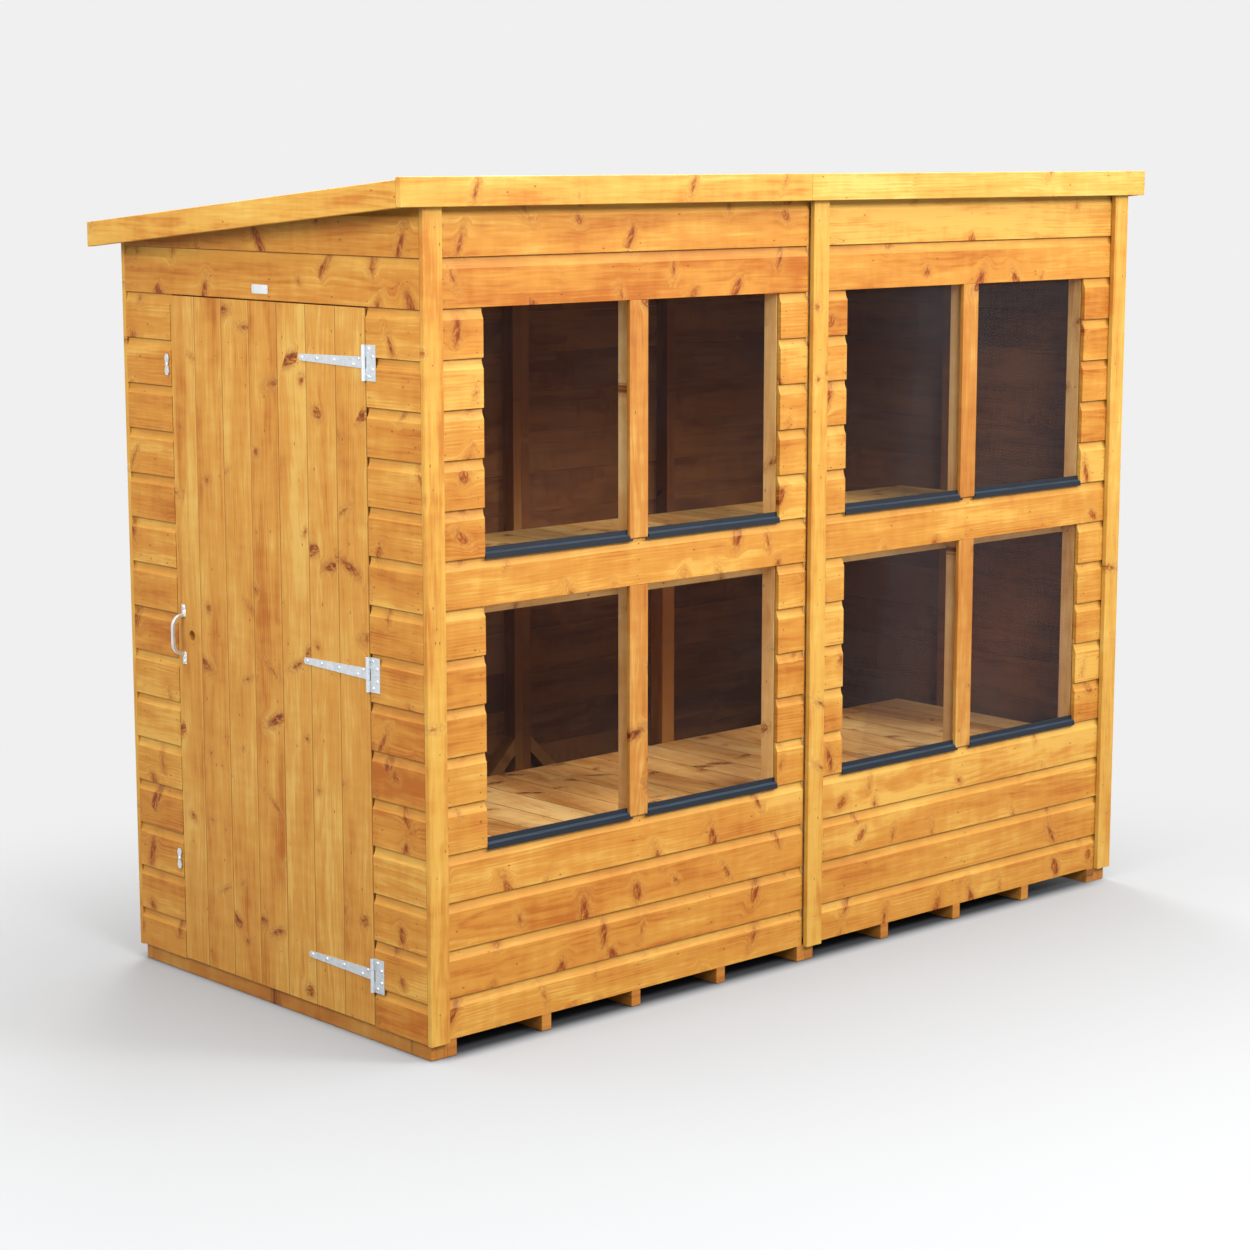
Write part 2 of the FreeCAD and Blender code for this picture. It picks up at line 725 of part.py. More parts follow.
def roof():
    for side, start, end in (("left", "deck_left", "deck_joint"), ("right", "deck_joint", "deck_right")):
        run = f"({end}) - ({start})"
        rows = matchboards(f"roof_{side}", "2 * wall_depth", "roof_thick", "XZ_Plane", "X_Axis",
                           f"ceil(({run}) / board_pitch)")
        lie_on_slope(rows, start, "-board_pitch", "0")
        plan = timber(f"roof_plan_{side}", start, "y_front", "0", run, "deck_depth", "2 * front_height")
        part(f"roof_boards_{side}", common(f"roof_boards_{side}", rows, plan))
    felt = sloped("felt_blank", "deck_left", "-board_pitch", "roof_thick",
                  "deck_right - deck_left", "2 * wall_depth", "felt_thick")
    part("roof_felt", common("roof_felt", felt, roof_plan))
    run = "2 * wall_depth"
    battens = [
        sloped("purlin", "x_room", "wall_depth / 2", "-stud_depth",
               "room_length", "stud_width", "stud_depth"),
        sloped("verge_left", "deck_left", "-board_pitch", "-stud_width", "stud_width", run, "stud_width"),
        sloped("verge_right", "deck_right - stud_width", "-board_pitch", "-stud_width", "stud_width", run,
               "stud_width"),
        sloped("eaves", "deck_left + stud_width", "wall_depth / cos(roof_angle) + stud_width * slope",
               "-stud_width", "deck_right - deck_left - 2 * stud_width", run, "stud_width"),
    ]
    part("roof_battens", common("roof_battens", compound("roof_batten_blanks", battens), roof_plan))
    base = "front_height + fascia_rise - fascia_height"
    for side, start, end in (
        ("left", "deck_left - fascia_thick", "deck_joint"),
        ("right", "deck_joint", "deck_right + fascia_thick"),
    ):
        board = timber(f"front_fascia_{side}", start, "y_front - fascia_thick", base,
                       f"({end}) - ({start})", "fascia_thick", "fascia_height")
        part(f"front_fascia_{side}", board)
    high = "deck_depth * slope"
    profile = [("0", f"{high}"), ("deck_depth", "0"), ("deck_depth", "barge_height"),
               ("0", f"{high} + barge_height")]
    for side, x in (("left", "deck_left - fascia_thick"), ("right", "deck_right")):
        body = new_body(f"side_fascia_{side}")
        pad(body, outline(body, f"side_fascia_{side}_profile", "YZ_Plane", profile), "fascia_thick")
        place(body, x, "y_front", f"front_height + barge_rise - barge_height - {high}")
        part(f"side_fascia_{side}", body)


# Door


def door():
    rows = matchboards("door", "door_height", "board_thick", "XY_Plane", "X_Axis",
                       "ceil(door_width / board_pitch)", v_joint=True)
    turn(rows, (0, 0, 1), 90)
    place(rows, "ledge_back", "door_hinge_edge", "door_base")
    plan = timber("door_plan", "x_left", "door_hinge_edge", "door_base",
                  "board_thick", "door_width", "door_height")
    hole = rod("finger_bore", "finger_hole / 2", "4 * board_thick", "x_left - board_thick",
               "door_free_edge - finger_inset", "ledge_mid", axis=(1, 0, 0))
    boards = common("door_planks", rows, plan)
    part("door_boards", cut("door_boards", boards, [hole]))
    ledges = [
        timber(f"ledge_{i}", "ledge_back", "ledge_start", f"{z} - ledge_height / 2",
               "ledge_thick", "ledge_length", "ledge_height")
        for i, z in enumerate(("ledge_low", "ledge_mid", "ledge_high"))
    ]
    part("door_ledges", cut("door_ledges", compound("ledges", ledges), [hole]))
    braces = []
    rise = "(ledge_high - ledge_low) / 2 - ledge_height"
    profile = [("0", "0"), ("door_brace_run", "0"), ("ledge_length", rise),
               ("ledge_length - door_brace_run", rise)]
    for i, ledge in enumerate(("ledge_low", "ledge_mid")):
        body = new_body(f"door_brace_{i}")
        pad(body, outline(body, f"door_brace_{i}_profile", "YZ_Plane", profile), "ledge_thick")
        place(body, "ledge_back", "ledge_start", f"{ledge} + ledge_height / 2")
        braces.append(body)
    part("door_braces", compound("door_braces", braces))


def bar(name, x, y, z, dx, dz):
    """A flat bar of the handle's width, centred on y."""
    return timber(name, x, f"({y}) - handle_bar / 2", z, dx, "handle_bar", dz)


def handle_bend(name, first, last, x, y, z):
    """A quarter bend of the handle's bar, from one direction to another about the Y axis."""
    spin = Rotation(first, last, first.cross(last), "XYZ")
    rings = []
    for ring, radius in (
        ("outer", "handle_bend + handle_bar / 2"),
        ("inner", "handle_bend - handle_bar / 2"),
    ):
        quarter = doc.addObject("Part::Cylinder", f"{name}_{ring}")
        quarter.Angle = 90
        quarter.Placement = Placement(Vector(), spin)
        bind(quarter, Radius=radius, Height="handle_bar")
        place(quarter, x, f"({y}) - handle_bar / 2", z)
        rings.append(quarter)
    return cut(name, rings[0], rings[1:])


def pull_handle():
    """A bar bent to a D, on two feet that run outward from its ends."""
    y = "door_free_edge - handle_inset"
    leg = "handle_reach - handle_bend"
    straight = "handle_span - 2 * handle_bend"
    pieces = [
        bar("handle_grip", "x_left - handle_reach - handle_bar / 2", y, f"ledge_mid - ({straight}) / 2",
            "handle_bar", straight)
    ]
    out = Vector(-1, 0, 0)
    up = Vector(0, 0, 1)
    for name, sign, first, last in (("top", "+", out, up), ("bottom", "-", -up, out)):
        z = f"ledge_mid {sign} handle_span / 2"
        foot_middle = f"{z} {sign} (foot_height - handle_bar) / 2"
        pieces += [
            handle_bend(f"handle_bend_{name}", first, last, f"x_left - ({leg})", y,
                        f"ledge_mid {sign} ({straight}) / 2"),
            bar(f"handle_leg_{name}", f"x_left - ({leg})", y, f"{z} - handle_bar / 2", leg, "handle_bar"),
            timber(f"handle_foot_{name}", "x_left - foot_thick", f"{y} - foot_width / 2",
                   f"{foot_middle} - foot_height / 2", "foot_thick", "foot_width", "foot_height"),
        ]
    part("pull_handle", fuse("pull_handle", pieces))


# T-hinges


def hinge_strap(name, z):
    """The tapered strap on the door, with its rounded tip and the middle knuckle."""
    body = new_body(f"{name}_leaf")
    tip = "strap_tip / 2"
    profile = [
        ("0", "strap_root / 2"),
        ("0", "-strap_root / 2"),
        (f"strap_length - {tip}", f"-{tip}"),
        (f"strap_length - {tip}", tip),
    ]
    pad(body, outline(body, f"{name}_taper", "YZ_Plane", profile), "leaf_thick")
    end = new_sketch(body, f"{name}_tip", "YZ_Plane")
    circle(end, f"strap_length - {tip}", "0", tip)
    pad(body, end, "leaf_thick")
    place(body, "x_left - leaf_thick", "pin_y", z)
    knuckle = rod(f"{name}_knuckle", "knuckle_radius", "strap_root", "pin_x", "pin_y",
                  f"{z} - strap_root / 2")
    bore = rod(f"{name}_bore", "pin_radius + pin_gap", "hinge_plate_height", "pin_x", "pin_y",
               f"{z} - hinge_plate_height / 2")
    part(name, cut(name, fuse(f"{name}_blank", [body, knuckle]), [bore]))


def hinge_plate(name, z):
    """The upright plate on the wall, with its two outer knuckles and the pin riveted into them."""
    low = f"{z} - hinge_plate_height / 2"
    edge = "pin_y - knuckle_radius - knuckle_gap"
    pieces = [
        timber(f"{name}_leaf", "x_left - leaf_thick", f"{edge} - hinge_plate_width", low,
               "leaf_thick", "hinge_plate_width", "hinge_plate_height"),
        rod(f"{name}_pin", "pin_radius", "hinge_plate_height", "pin_x", "pin_y", low),
    ]
    for i, start in enumerate((low, f"{low} + 2 * knuckle_third")):
        pieces.append(
            timber(f"{name}_tab_{i}", "x_left - leaf_thick", edge, start,
                   "leaf_thick", "knuckle_radius + knuckle_gap", "knuckle_third")
        )
        pieces.append(
            rod(f"{name}_knuckle_{i}", "knuckle_radius", "knuckle_third", "pin_x", "pin_y", start)
        )
    part(name, fuse(name, pieces))


def hinges():
    for name, z in (("top", "ledge_high"), ("middle", "ledge_mid"), ("bottom", "ledge_low")):
        hinge_strap(f"hinge_strap_{name}", z)
        hinge_plate(f"hinge_plate_{name}", z)


# Turn buttons


def turn_button(name, z):
    """A waisted button that turns on its screw to hold the door shut."""
    body = new_body(f"{name}_plate")
    reach = "(button_length - button_width) / 2"
    profile = [
        ("button_waist / 2", "0"),
        ("button_width / 2", reach),
        ("button_width / 4", "button_length / 2"),
        ("-button_width / 4", "button_length / 2"),
        ("-button_width / 2", reach),
        ("-button_waist / 2", "0"),
        ("-button_width / 2", f"-{reach}"),
        ("-button_width / 4", "-button_length / 2"),
        ("button_width / 4", "-button_length / 2"),
        ("button_width / 2", f"-{reach}"),
    ]
    pad(body, outline(body, f"{name}_bow", "YZ_Plane", profile), "button_thick", True)
    place(body, "x_left - button_lift", "button_y", z)
    bore = rod(f"{name}_bore", "pivot_radius + pin_gap", "button_lift + 2 * button_thick",
               "x_left", "button_y", z, axis=(-1, 0, 0))
    part(name, cut(name, body, [bore]))


def turn_buttons():
    neck = "button_lift + button_thick + button_gap"
    pivots = []
    for name, z in (("top", "button_high"), ("bottom", "button_low")):
        turn_button(f"turn_button_{name}", z)
        shank = rod(f"pivot_neck_{name}", "pivot_radius", neck, "x_left", "button_y", z, axis=(-1, 0, 0))
        head = rod(f"pivot_head_{name}", "pivot_head_radius", "pivot_head",
                   f"x_left - ({neck})", "button_y", z, axis=(-1, 0, 0))
        pivots.append(fuse(f"pivot_{name}", [shank, head]))
    part("turn_button_pivots", compound("turn_button_pivots", pivots))


# Staging


def staging():
    rails = []
    for name, top in (("shelf", "bench_low"), ("bench", "bench_high")):
        body = new_body(f"{name}_row")
        profile = [("0", "0"), ("board_pitch - bench_gap", "0"), ("board_pitch - bench_gap", "bench_thick"),
                   ("0", "bench_thick")]
        plank = pad(body, outline(body, f"{name}_profile", "XZ_Plane", profile), "bench_depth", True)
        repeat(body, plank, "X_Axis", "board_pitch", "ceil(room_length / board_pitch)")
        place(body, "x_room", "y_room", f"{top} - bench_thick")
        plan = timber(f"{name}_plan", "x_room", "y_room", "0", "room_length", "bench_depth", "front_height")
        part(f"{name}_boards", common(f"{name}_boards", body, plan))
        z = f"{top} - bench_thick - stud_depth"
        inner = "bench_depth - 2 * stud_width"
        sticks = [
            ("wall", "x_room", "y_room", "room_length", "stud_width"),
            ("front", "x_room", "bench_edge - stud_width", "room_length", "stud_width"),
            ("door_end", "x_room", "y_room + stud_width", "stud_width", inner),
            ("far_end", "x_room_right - stud_width", "y_room + stud_width", "stud_width", inner),
        ]
        for end, x, y, dx, dy in sticks:
            rails.append(timber(f"{name}_rail_{end}", x, y, z, dx, dy, "stud_depth"))
    part("bench_rails", compound("bench_rails", rails))
    posts = [
        timber(f"bench_post_{i}", x, "bench_edge", "floor_top", "post_width", "post_width",
               "bench_high - bench_thick - floor_top")
        for i, x in enumerate(("x_room", "x_joint + post_distance"))
    ]
    part("bench_posts", compound("bench_posts", posts))


floor()
for panel_side in ("left", "right"):
    front_panel(panel_side)
    back_panel(panel_side)
window_sills()
end_walls()
strips()
roof()
door()
pull_handle()
hinges()
turn_buttons()
staging()
doc.recompute()

for item in doc.Objects:
    if "Invalid" in item.State or "Error" in item.State:
        raise RuntimeError(f"{item.Name} failed: {item.State}")
for item in parts:
    if item.Shape.isNull() or not item.Shape.isValid() or not item.Shape.Solids:
        raise RuntimeError(f"{item.Label} has no valid solid")

os.makedirs("parts", exist_ok=True)
for item in parts:
    item.Shape.exportStep(f"parts/{item.Label}.step")
    print(item.Label, len(item.Shape.Solids), "solids", round(item.Shape.Volume / 1000), "cm3")
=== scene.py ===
"""Looks of the potting shed: honey-coloured pine boards, zinc hardware, slate sills, glass and felt."""
import json
import math
import random
from collections import defaultdict, namedtuple

import bmesh
import bpy
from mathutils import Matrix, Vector


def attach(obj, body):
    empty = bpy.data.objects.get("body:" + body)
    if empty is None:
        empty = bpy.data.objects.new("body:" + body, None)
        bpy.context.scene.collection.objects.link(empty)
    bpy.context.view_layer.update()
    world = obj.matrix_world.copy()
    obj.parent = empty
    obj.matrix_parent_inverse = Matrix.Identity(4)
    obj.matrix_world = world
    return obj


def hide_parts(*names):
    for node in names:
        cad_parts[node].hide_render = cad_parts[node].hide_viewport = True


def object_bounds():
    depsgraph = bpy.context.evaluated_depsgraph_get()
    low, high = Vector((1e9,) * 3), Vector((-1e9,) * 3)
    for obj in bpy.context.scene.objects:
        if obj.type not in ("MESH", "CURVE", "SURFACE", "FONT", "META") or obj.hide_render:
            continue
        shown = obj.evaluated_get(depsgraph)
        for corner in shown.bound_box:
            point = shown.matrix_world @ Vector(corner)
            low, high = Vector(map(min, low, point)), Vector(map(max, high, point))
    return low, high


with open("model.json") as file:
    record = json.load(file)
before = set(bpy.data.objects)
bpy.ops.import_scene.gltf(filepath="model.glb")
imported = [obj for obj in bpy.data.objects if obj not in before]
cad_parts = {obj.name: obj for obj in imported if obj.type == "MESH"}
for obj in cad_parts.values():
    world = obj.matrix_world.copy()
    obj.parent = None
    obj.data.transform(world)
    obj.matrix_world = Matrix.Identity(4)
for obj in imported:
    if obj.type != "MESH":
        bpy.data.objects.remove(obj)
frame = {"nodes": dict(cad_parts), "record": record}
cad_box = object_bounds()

LEFT = Vector((-1, 0, 0))
RIGHT = Vector((1, 0, 0))
FRONT = Vector((0, -1, 0))
BACK = Vector((0, 1, 0))
UP = Vector((0, 0, 1))
AXES = {"x": RIGHT, "y": BACK, "z": UP}

# Places on the walls are in millimetres from the outer corner of the front left strip, on the ground
CORNER = Vector((-1.1795, -0.5835, 0.0))
MILLIMETRES = 1000
BOARD_PITCH = 108.0
FIRST_COURSE = 23.5
ROOF_SLOPE = math.tan(math.radians(5.2))


def at(x, y, z):
    """A point of the shed from its millimetres along the front, back from it and up."""
    return CORNER + Vector((x, y, z)) / MILLIMETRES


# Shader nodes


class Value:
    """What a shader node puts out. Arithmetic on it adds more nodes."""

    def __init__(self, shader, socket):
        self.shader = shader
        self.socket = socket

    def __add__(self, other):
        return self.shader.math("ADD", self, other)

    def __sub__(self, other):
        return self.shader.math("SUBTRACT", self, other)

    def __mul__(self, other):
        return self.shader.math("MULTIPLY", self, other)

    def __truediv__(self, other):
        return self.shader.math("DIVIDE", self, other)

    def __abs__(self):
        return self.shader.math("ABSOLUTE", self)

    def fraction(self):
        return self.shader.math("FRACT", self)

    def ease(self, low, high, first=0.0, last=1.0):
        """A smooth step from first, at low, to last, at high."""
        return self.shader.result("MapRange", {0: self, 1: low, 2: high, 3: first, 4: last},
                                  interpolation_type="SMOOTHSTEP")

    def fade(self, low, high):
        """A smooth step down from one, at low, to nought, at high."""
        return self.ease(low, high, 1.0, 0.0)


class Shader:
    """A material whose nodes are added one after another."""

    def __init__(self, name):
        self.material = bpy.data.materials.new(name)
        self.material.use_nodes = True
        self.tree = self.material.node_tree
        self.tree.nodes.clear()
        self.output = self.tree.nodes.new("ShaderNodeOutputMaterial")

    def node(self, kind, inputs=None, **settings):
        """A new node with its settings and what goes into its sockets."""
        made = self.tree.nodes.new("ShaderNode" + kind)
        for name, setting in settings.items():
            setattr(made, name, setting)
        for socket, value in (inputs or {}).items():
            self.feed(made.inputs[socket], value)
        return made

    def feed(self, socket, value):
        """Links a value to a socket, or sets a constant on it."""
        if isinstance(value, Value):
            self.tree.links.new(value.socket, socket)
        else:
            socket.default_value = value

    def result(self, kind, inputs=None, output=0, **settings):
        """What one output of a new node gives."""
        return Value(self, self.node(kind, inputs, **settings).outputs[output])

    def math(self, operation, first, second=0.0):
        return self.result("Math", {0: first, 1: second}, operation=operation)

    def length(self, x, y):
        return self.math("SQRT", x * x + y * y)

    def vector(self, x, y, z=0.0):
        return self.result("CombineXYZ", {0: x, 1: y, 2: z})

    def parts(self, vector):
        split = self.node("SeparateXYZ", {0: vector})
        return [Value(self, output) for output in split.outputs]

    def attribute(self, name):
        return self.result("Attribute", output="Vector", attribute_name=name)

    def place(self):
        return self.result("TexCoord", output="Object")

    def normal(self):
        return self.result("NewGeometry", output="Normal")

    def noise(self, vector, scale=1.0, detail=2.0, roughness=0.5):
        sockets = {"Vector": vector, "Scale": scale, "Detail": detail, "Roughness": roughness}
        return self.result("TexNoise", sockets)

    def cells(self, vector, scale=1.0, randomness=1.0, dimensions="3D"):
        """Scattered cells: how far the middle of the nearest is, its own colour, and where it is."""
        sockets = {"Vector": vector, "Scale": scale, "Randomness": randomness}
        made = self.node("TexVoronoi", sockets, voronoi_dimensions=dimensions)
        return [Value(self, made.outputs[name]) for name in ("Distance", "Color", "Position")]

    def blend(self, share, first, second):
        return self.result("Mix", {0: share, 6: first, 7: second}, output=2, data_type="RGBA")

    def bump(self, height, distance, strength):
        return self.result("Bump", {"Height": height, "Distance": distance, "Strength": strength})

    def show(self, look):
        """Puts a finished look on the material's surface."""
        self.feed(self.output.inputs["Surface"], look)
        return self.material

    def surface(self, **inputs):
        """The principled surface, its sockets named with underscores for spaces."""
        named = {key.replace("_", " "): value for key, value in inputs.items()}
        return self.show(self.result("BsdfPrincipled", named))


def colour(red, green, blue):
    """A shader colour from screen values between 0 and 255."""
    return tuple(((c / 255 + 0.055) / 1.055) ** 2.4 if c > 10 else c / 255 / 12.92
                 for c in (red, green, blue)) + (1.0,)


STAIN_SHARE = 0.46


def stain(red, green, blue):
    """The colour of a stained board that shows these screen values in the full light of the studio."""
    return tuple(c * STAIN_SHARE for c in colour(red, green, blue)[:3]) + (1.0,)


# Pine, with lengths in metres

Tones = namedtuple("Tones", "pale middle deep knot")
# A seam has the axis that the boards follow one another along, the place of one seam, their pitch, how far
# the pale band, a painted highlight, and the dark line, stain with painted shade, reach to either side, and
# how dark that line is
Seam = namedtuple("Seam", "axis first pitch pale dark depth")
# A knot, as a point near it meets it: whether there is one, how far off its edge is, whether the point lies
# inside or on the rim, the pull on the grain, the way from the knot's middle, and random shares
Knots = namedtuple("Knots", "present edge inside rim pull leaning off_across shade lean ragged")

KNOT_CELL_LENGTH = 0.16
KNOT_CELL_WIDTH = 0.095
KNOT_SIZE = 0.024
RING_WIDTH = 0.0078
SAWN_PALE = stain(182, 116, 62)
SAWN_DEEP = stain(130, 74, 38)


def tones_of(paint, **screen_colours):
    """The four tones of a timber, as a paint gives them from screen values."""
    return Tones(**{name: paint(*values) for name, values in screen_colours.items()})


def knots_of(wood, along, across, rarity):
    """The knots of a board: one in a cell or none, leaning, ragged and drawn out across the grain."""
    warp = wood.noise(wood.vector(along * 40.0, across * 40.0))
    warped = along + (warp - 0.5) * 0.010
    spread = wood.vector(warped / KNOT_CELL_LENGTH, across / KNOT_CELL_WIDTH)
    _, own, middle = wood.cells(spread, randomness=0.9, dimensions="2D")
    middle_along, middle_across, _ = wood.parts(middle)
    chance, shade, lean = wood.parts(own)
    off_along = warped - middle_along * KNOT_CELL_LENGTH
    off_across = across - middle_across * KNOT_CELL_WIDTH
    leaning = off_along + off_across * ((lean - 0.5) * 1.3)
    drawn_out = shade.ease(0.3, 0.8, 0.3, 0.9)
    ragged = wood.noise(wood.vector(along, across), scale=120.0, detail=4.0, roughness=0.65)
    distance = wood.length(leaning, off_across * drawn_out) + (ragged - 0.5) * 0.016
    radius = (chance - rarity) * KNOT_SIZE
    present = radius.ease(0.0, 0.002)
    edge = distance - radius
    return Knots(
        present=present,
        edge=edge,
        inside=present * edge.fade(-0.004, 0.0015),
        rim=present * abs(edge + 0.001).fade(0.0, 0.0022),
        pull=present * distance.ease(0.0, radius * 2.6 + 0.012, 0.92, 0.0),
        leaning=leaning,
        off_across=off_across,
        shade=shade,
        lean=lean,
        ragged=ragged,
    )


def knotted(wood, base, knots, tones):
    """The wood with its knots: a pale halo, a red blush, flamed heartwood and a broken dark rim."""
    red = tuple(0.7 * deep + 0.3 * knot for deep, knot in zip(tones.deep, tones.knot))
    halo = knots.present * knots.edge.fade(0.0, 0.022)
    base = wood.blend(halo * (knots.lean * 0.4 + 0.1), base, tones.pale)
    blush = knots.present * knots.edge.fade(-0.002, 0.02)
    base = wood.blend(blush * knots.ragged.ease(0.35, 0.65, 0.1, 0.9), base, red)
    flame_place = wood.vector(knots.leaning * 190.0, knots.off_across * 70.0, knots.shade)
    flame = wood.noise(flame_place, detail=3.0, roughness=0.7)
    heartwood = wood.blend(flame.ease(0.36, 0.46), tones.middle, red)
    heartwood = wood.blend(flame.ease(0.47, 0.56), heartwood, tones.knot)
    base = wood.blend(knots.inside, base, heartwood)
    broken = knots.rim * knots.ragged.ease(0.35, 0.65, 0.1, 0.8)
    return wood.blend(broken * (knots.shade * 0.4 + 0.4), base, tones.knot)


def speckled(wood, base, along, across, tones):
    """The wood with a few pin knots."""
    distance, own, _ = wood.cells(wood.vector(along * 13.0, across * 24.0), dimensions="2D")
    chance, _, _ = wood.parts(own)
    pin_knot = chance.ease(0.84, 0.9) * distance.ease(0.02, 0.07, 0.75, 0.0)
    return wood.blend(pin_knot, base, tones.knot)


def seamed(wood, base, seam, pores, tones):
    """The wood with its seams: a dark line of stain and painted shade at each, and a painted highlight
    beside it.
    """
    place = wood.parts(wood.place())[seam.axis]
    near = (((place - seam.first) / seam.pitch + 0.5).fraction() - 0.5) * seam.pitch
    below, above = seam.pale
    # The paler band over a lap, or on both sides of a V joint, is a painted highlight, as if that band
    # caught the light
    moulded = near.ease(-below - 0.001, -below) * near.fade(above, above + 0.001)
    base = wood.blend(moulded * 0.25, base, tones.pale)
    below, above = seam.dark
    # The dark line at a lap or V joint is stain gathered there with painted shade; at a bench seam it is a
    # dark joint
    stain_and_painted_shade = near.ease(-below, -below / 2) * near.fade(above / 2, above)
    return wood.blend(stain_and_painted_shade * pores.ease(0.2, 0.7, seam.depth, seam.depth * 0.65), base, tones.knot)


def pine(name, tones, rarity, seam=None):
    """Dipped pine: bowed growth rings, soft clouds along the board, and knots that the grain flows round.

    The grain attribute runs along, across and through each board in metres. The board attribute holds
    its tone and the place of the heart of the tree. A higher rarity leaves fewer knots.
    """
    wood = Shader(name)
    along, across, through = wood.parts(wood.attribute("grain"))
    tone, heart_across, heart_deep = wood.parts(wood.attribute("board"))
    knots = knots_of(wood, along, across, rarity)

    wander = wood.noise(wood.vector(along * 1.6, across * 2.0, tone))
    flow = across - knots.off_across * knots.pull + (wander - 0.5) * 0.03

    def streaked(waves_along, waves_across, third, detail=2.0, roughness=0.5):
        """Noise that follows the grain, with so many waves in a metre along and across it."""
        place = wood.vector(along * waves_along, flow * waves_across, third)
        return wood.noise(place, detail=detail, roughness=roughness)

    drift = wood.noise(wood.vector(along * 0.8, heart_deep, tone), detail=1.0)
    below_face = heart_deep - through + (drift - 0.5) * 0.14
    ring = wood.length(flow - heart_across, below_face) / RING_WIDTH
    uneven = wood.noise(wood.vector(ring * 0.31, tone), detail=1.0)
    year = (ring + uneven * 1.6).fraction()
    late = year.ease(0.15, 0.85) * year.fade(0.85, 1.0)
    strong = streaked(1.6, 16.0, tone).ease(0.42, 0.68)

    clouds = streaked(3.0, 15.0, tone, detail=3.0, roughness=0.6)
    streaks = streaked(2.6, 70.0, through * 12.0, detail=4.0, roughness=0.65)
    fibres = streaked(8.0, 430.0, through * 90.0, detail=3.0, roughness=0.6)
    figure = streaked(34.0, 11.0, tone, detail=3.0)
    pores = streaked(11.0, 170.0, tone, roughness=0.6)
    depth = (clouds - 0.5) * 2.1 + (streaks - 0.5) * 0.75 + late * strong * 0.30 + (pores - 0.5) * 0.75
    depth = depth + ((fibres - 0.5) * 0.28 + (figure - 0.5) * 0.55) + tone + 0.5

    base = wood.blend(depth.ease(-0.1, 0.55), tones.pale, tones.middle)
    base = wood.blend(depth.ease(0.45, 1.25), base, tones.deep)
    base = knotted(wood, base, knots, tones)
    base = speckled(wood, base, along, across, tones)
    if seam:
        base = seamed(wood, base, seam, pores, tones)

    facing = wood.result("VectorMath", {0: wood.normal(), 1: wood.attribute("outward")}, output="Value",
                         operation="DOT_PRODUCT")
    back = facing.fade(-0.8, -0.4)
    saw_marks = wood.noise(wood.vector(along * 260.0, across * 14.0))
    sawn = wood.blend((depth + (saw_marks - 0.5)).ease(0.0, 1.2), SAWN_PALE, SAWN_DEEP)
    base = wood.blend(back, base, sawn)

    rough = fibres * 0.2 + (late * -0.06 + 0.52) - knots.inside * 0.1 + back * 0.25
    height = fibres * 0.5 + (late * 0.3 + knots.inside * 0.5) + saw_marks * (back * 0.8 + 0.15)
    normal = wood.bump(height, distance=0.0006, strength=0.5)
    return wood.surface(Base_Color=base, Roughness=rough, Normal=normal, Specular_IOR_Level=0.22)


# Metal, plastic, felt, glass and paint


def zinc(name, bright, dull, metallic=0.9):
    """Bright zinc plate: faint crystal patches, drawn scratches and cloudy tarnish."""
    metal = Shader(name)
    place = metal.place()
    x, y, z = metal.parts(place)
    _, own, _ = metal.cells(place, scale=420.0)
    patch, _, _ = metal.parts(own)
    drawn = metal.noise(metal.vector(x * 90.0, y * 90.0, z * 1800.0), detail=3.0)
    tarnish = metal.noise(place, scale=60.0, detail=5.0, roughness=0.65)
    share = patch * 0.12 + (drawn * 0.22 + tarnish * 0.66)
    base = metal.blend(share.ease(0.3, 0.8), bright, dull)
    rough = tarnish * 0.2 + (patch * 0.05 + 0.26)
    normal = metal.bump(drawn + tarnish * 0.4, distance=0.0001, strength=0.25)
    return metal.surface(Base_Color=base, Metallic=metallic, Roughness=rough, Normal=normal)


def slate_plastic(name):
    """Extruded slate-coloured plastic: fine moulded grain, and a lighter colour on faces that look up,
    partly dusty film and partly a painted highlight.
    """
    plastic = Shader(name)
    place = plastic.place()
    x, y, z = plastic.parts(place)
    grain = plastic.noise(place, scale=2300.0)
    dust_and_highlight = plastic.noise(plastic.vector(x * 14.0, y * 120.0, z * 60.0), detail=5.0, roughness=0.65)
    _, _, upward = plastic.parts(plastic.normal())
    # Faces that look up get the lighter colour: in part a dusty film, in part a painted highlight where
    # light falls on them
    share = dust_and_highlight.ease(0.3, 0.7, 0.5, 1.0) * upward.ease(0.2, 0.8, 0.05, 0.9)
    base = plastic.blend(share, colour(8, 14, 22), colour(36, 52, 68))
    rough = grain * 0.14 + (share * 0.25 + 0.36)
    normal = plastic.bump(grain, distance=0.0001, strength=0.5)
    return plastic.surface(Base_Color=base, Roughness=rough, Normal=normal, Specular_IOR_Level=0.3)


def mineral_felt(name):
    """Roofing felt: pressed mineral chips on bitumen, with faint rolled ripples and weathered patches."""
    felt = Shader(name)
    place = felt.place()
    x, y, z = felt.parts(place)
    distance, own, _ = felt.cells(place, scale=620.0)
    chip, tint, _ = felt.parts(own)
    patches = felt.noise(place, scale=2.6, detail=5.0, roughness=0.6)
    base = felt.blend(chip.ease(0.1, 0.95), colour(46, 50, 46), colour(98, 104, 96))
    base = felt.blend(tint.ease(0.8, 0.95) * 0.6, base, colour(150, 152, 146))
    base = felt.blend(patches.ease(0.4, 0.75, 0.0, 0.5), base, colour(58, 60, 56))
    ripples = felt.noise(felt.vector(x * 1.2, y * 9.0, z))
    normal = felt.bump(distance * -0.6 + ripples * 4.0, distance=0.0012, strength=0.8)
    return felt.surface(Base_Color=base, Roughness=chip * 0.12 + 0.82, Normal=normal)


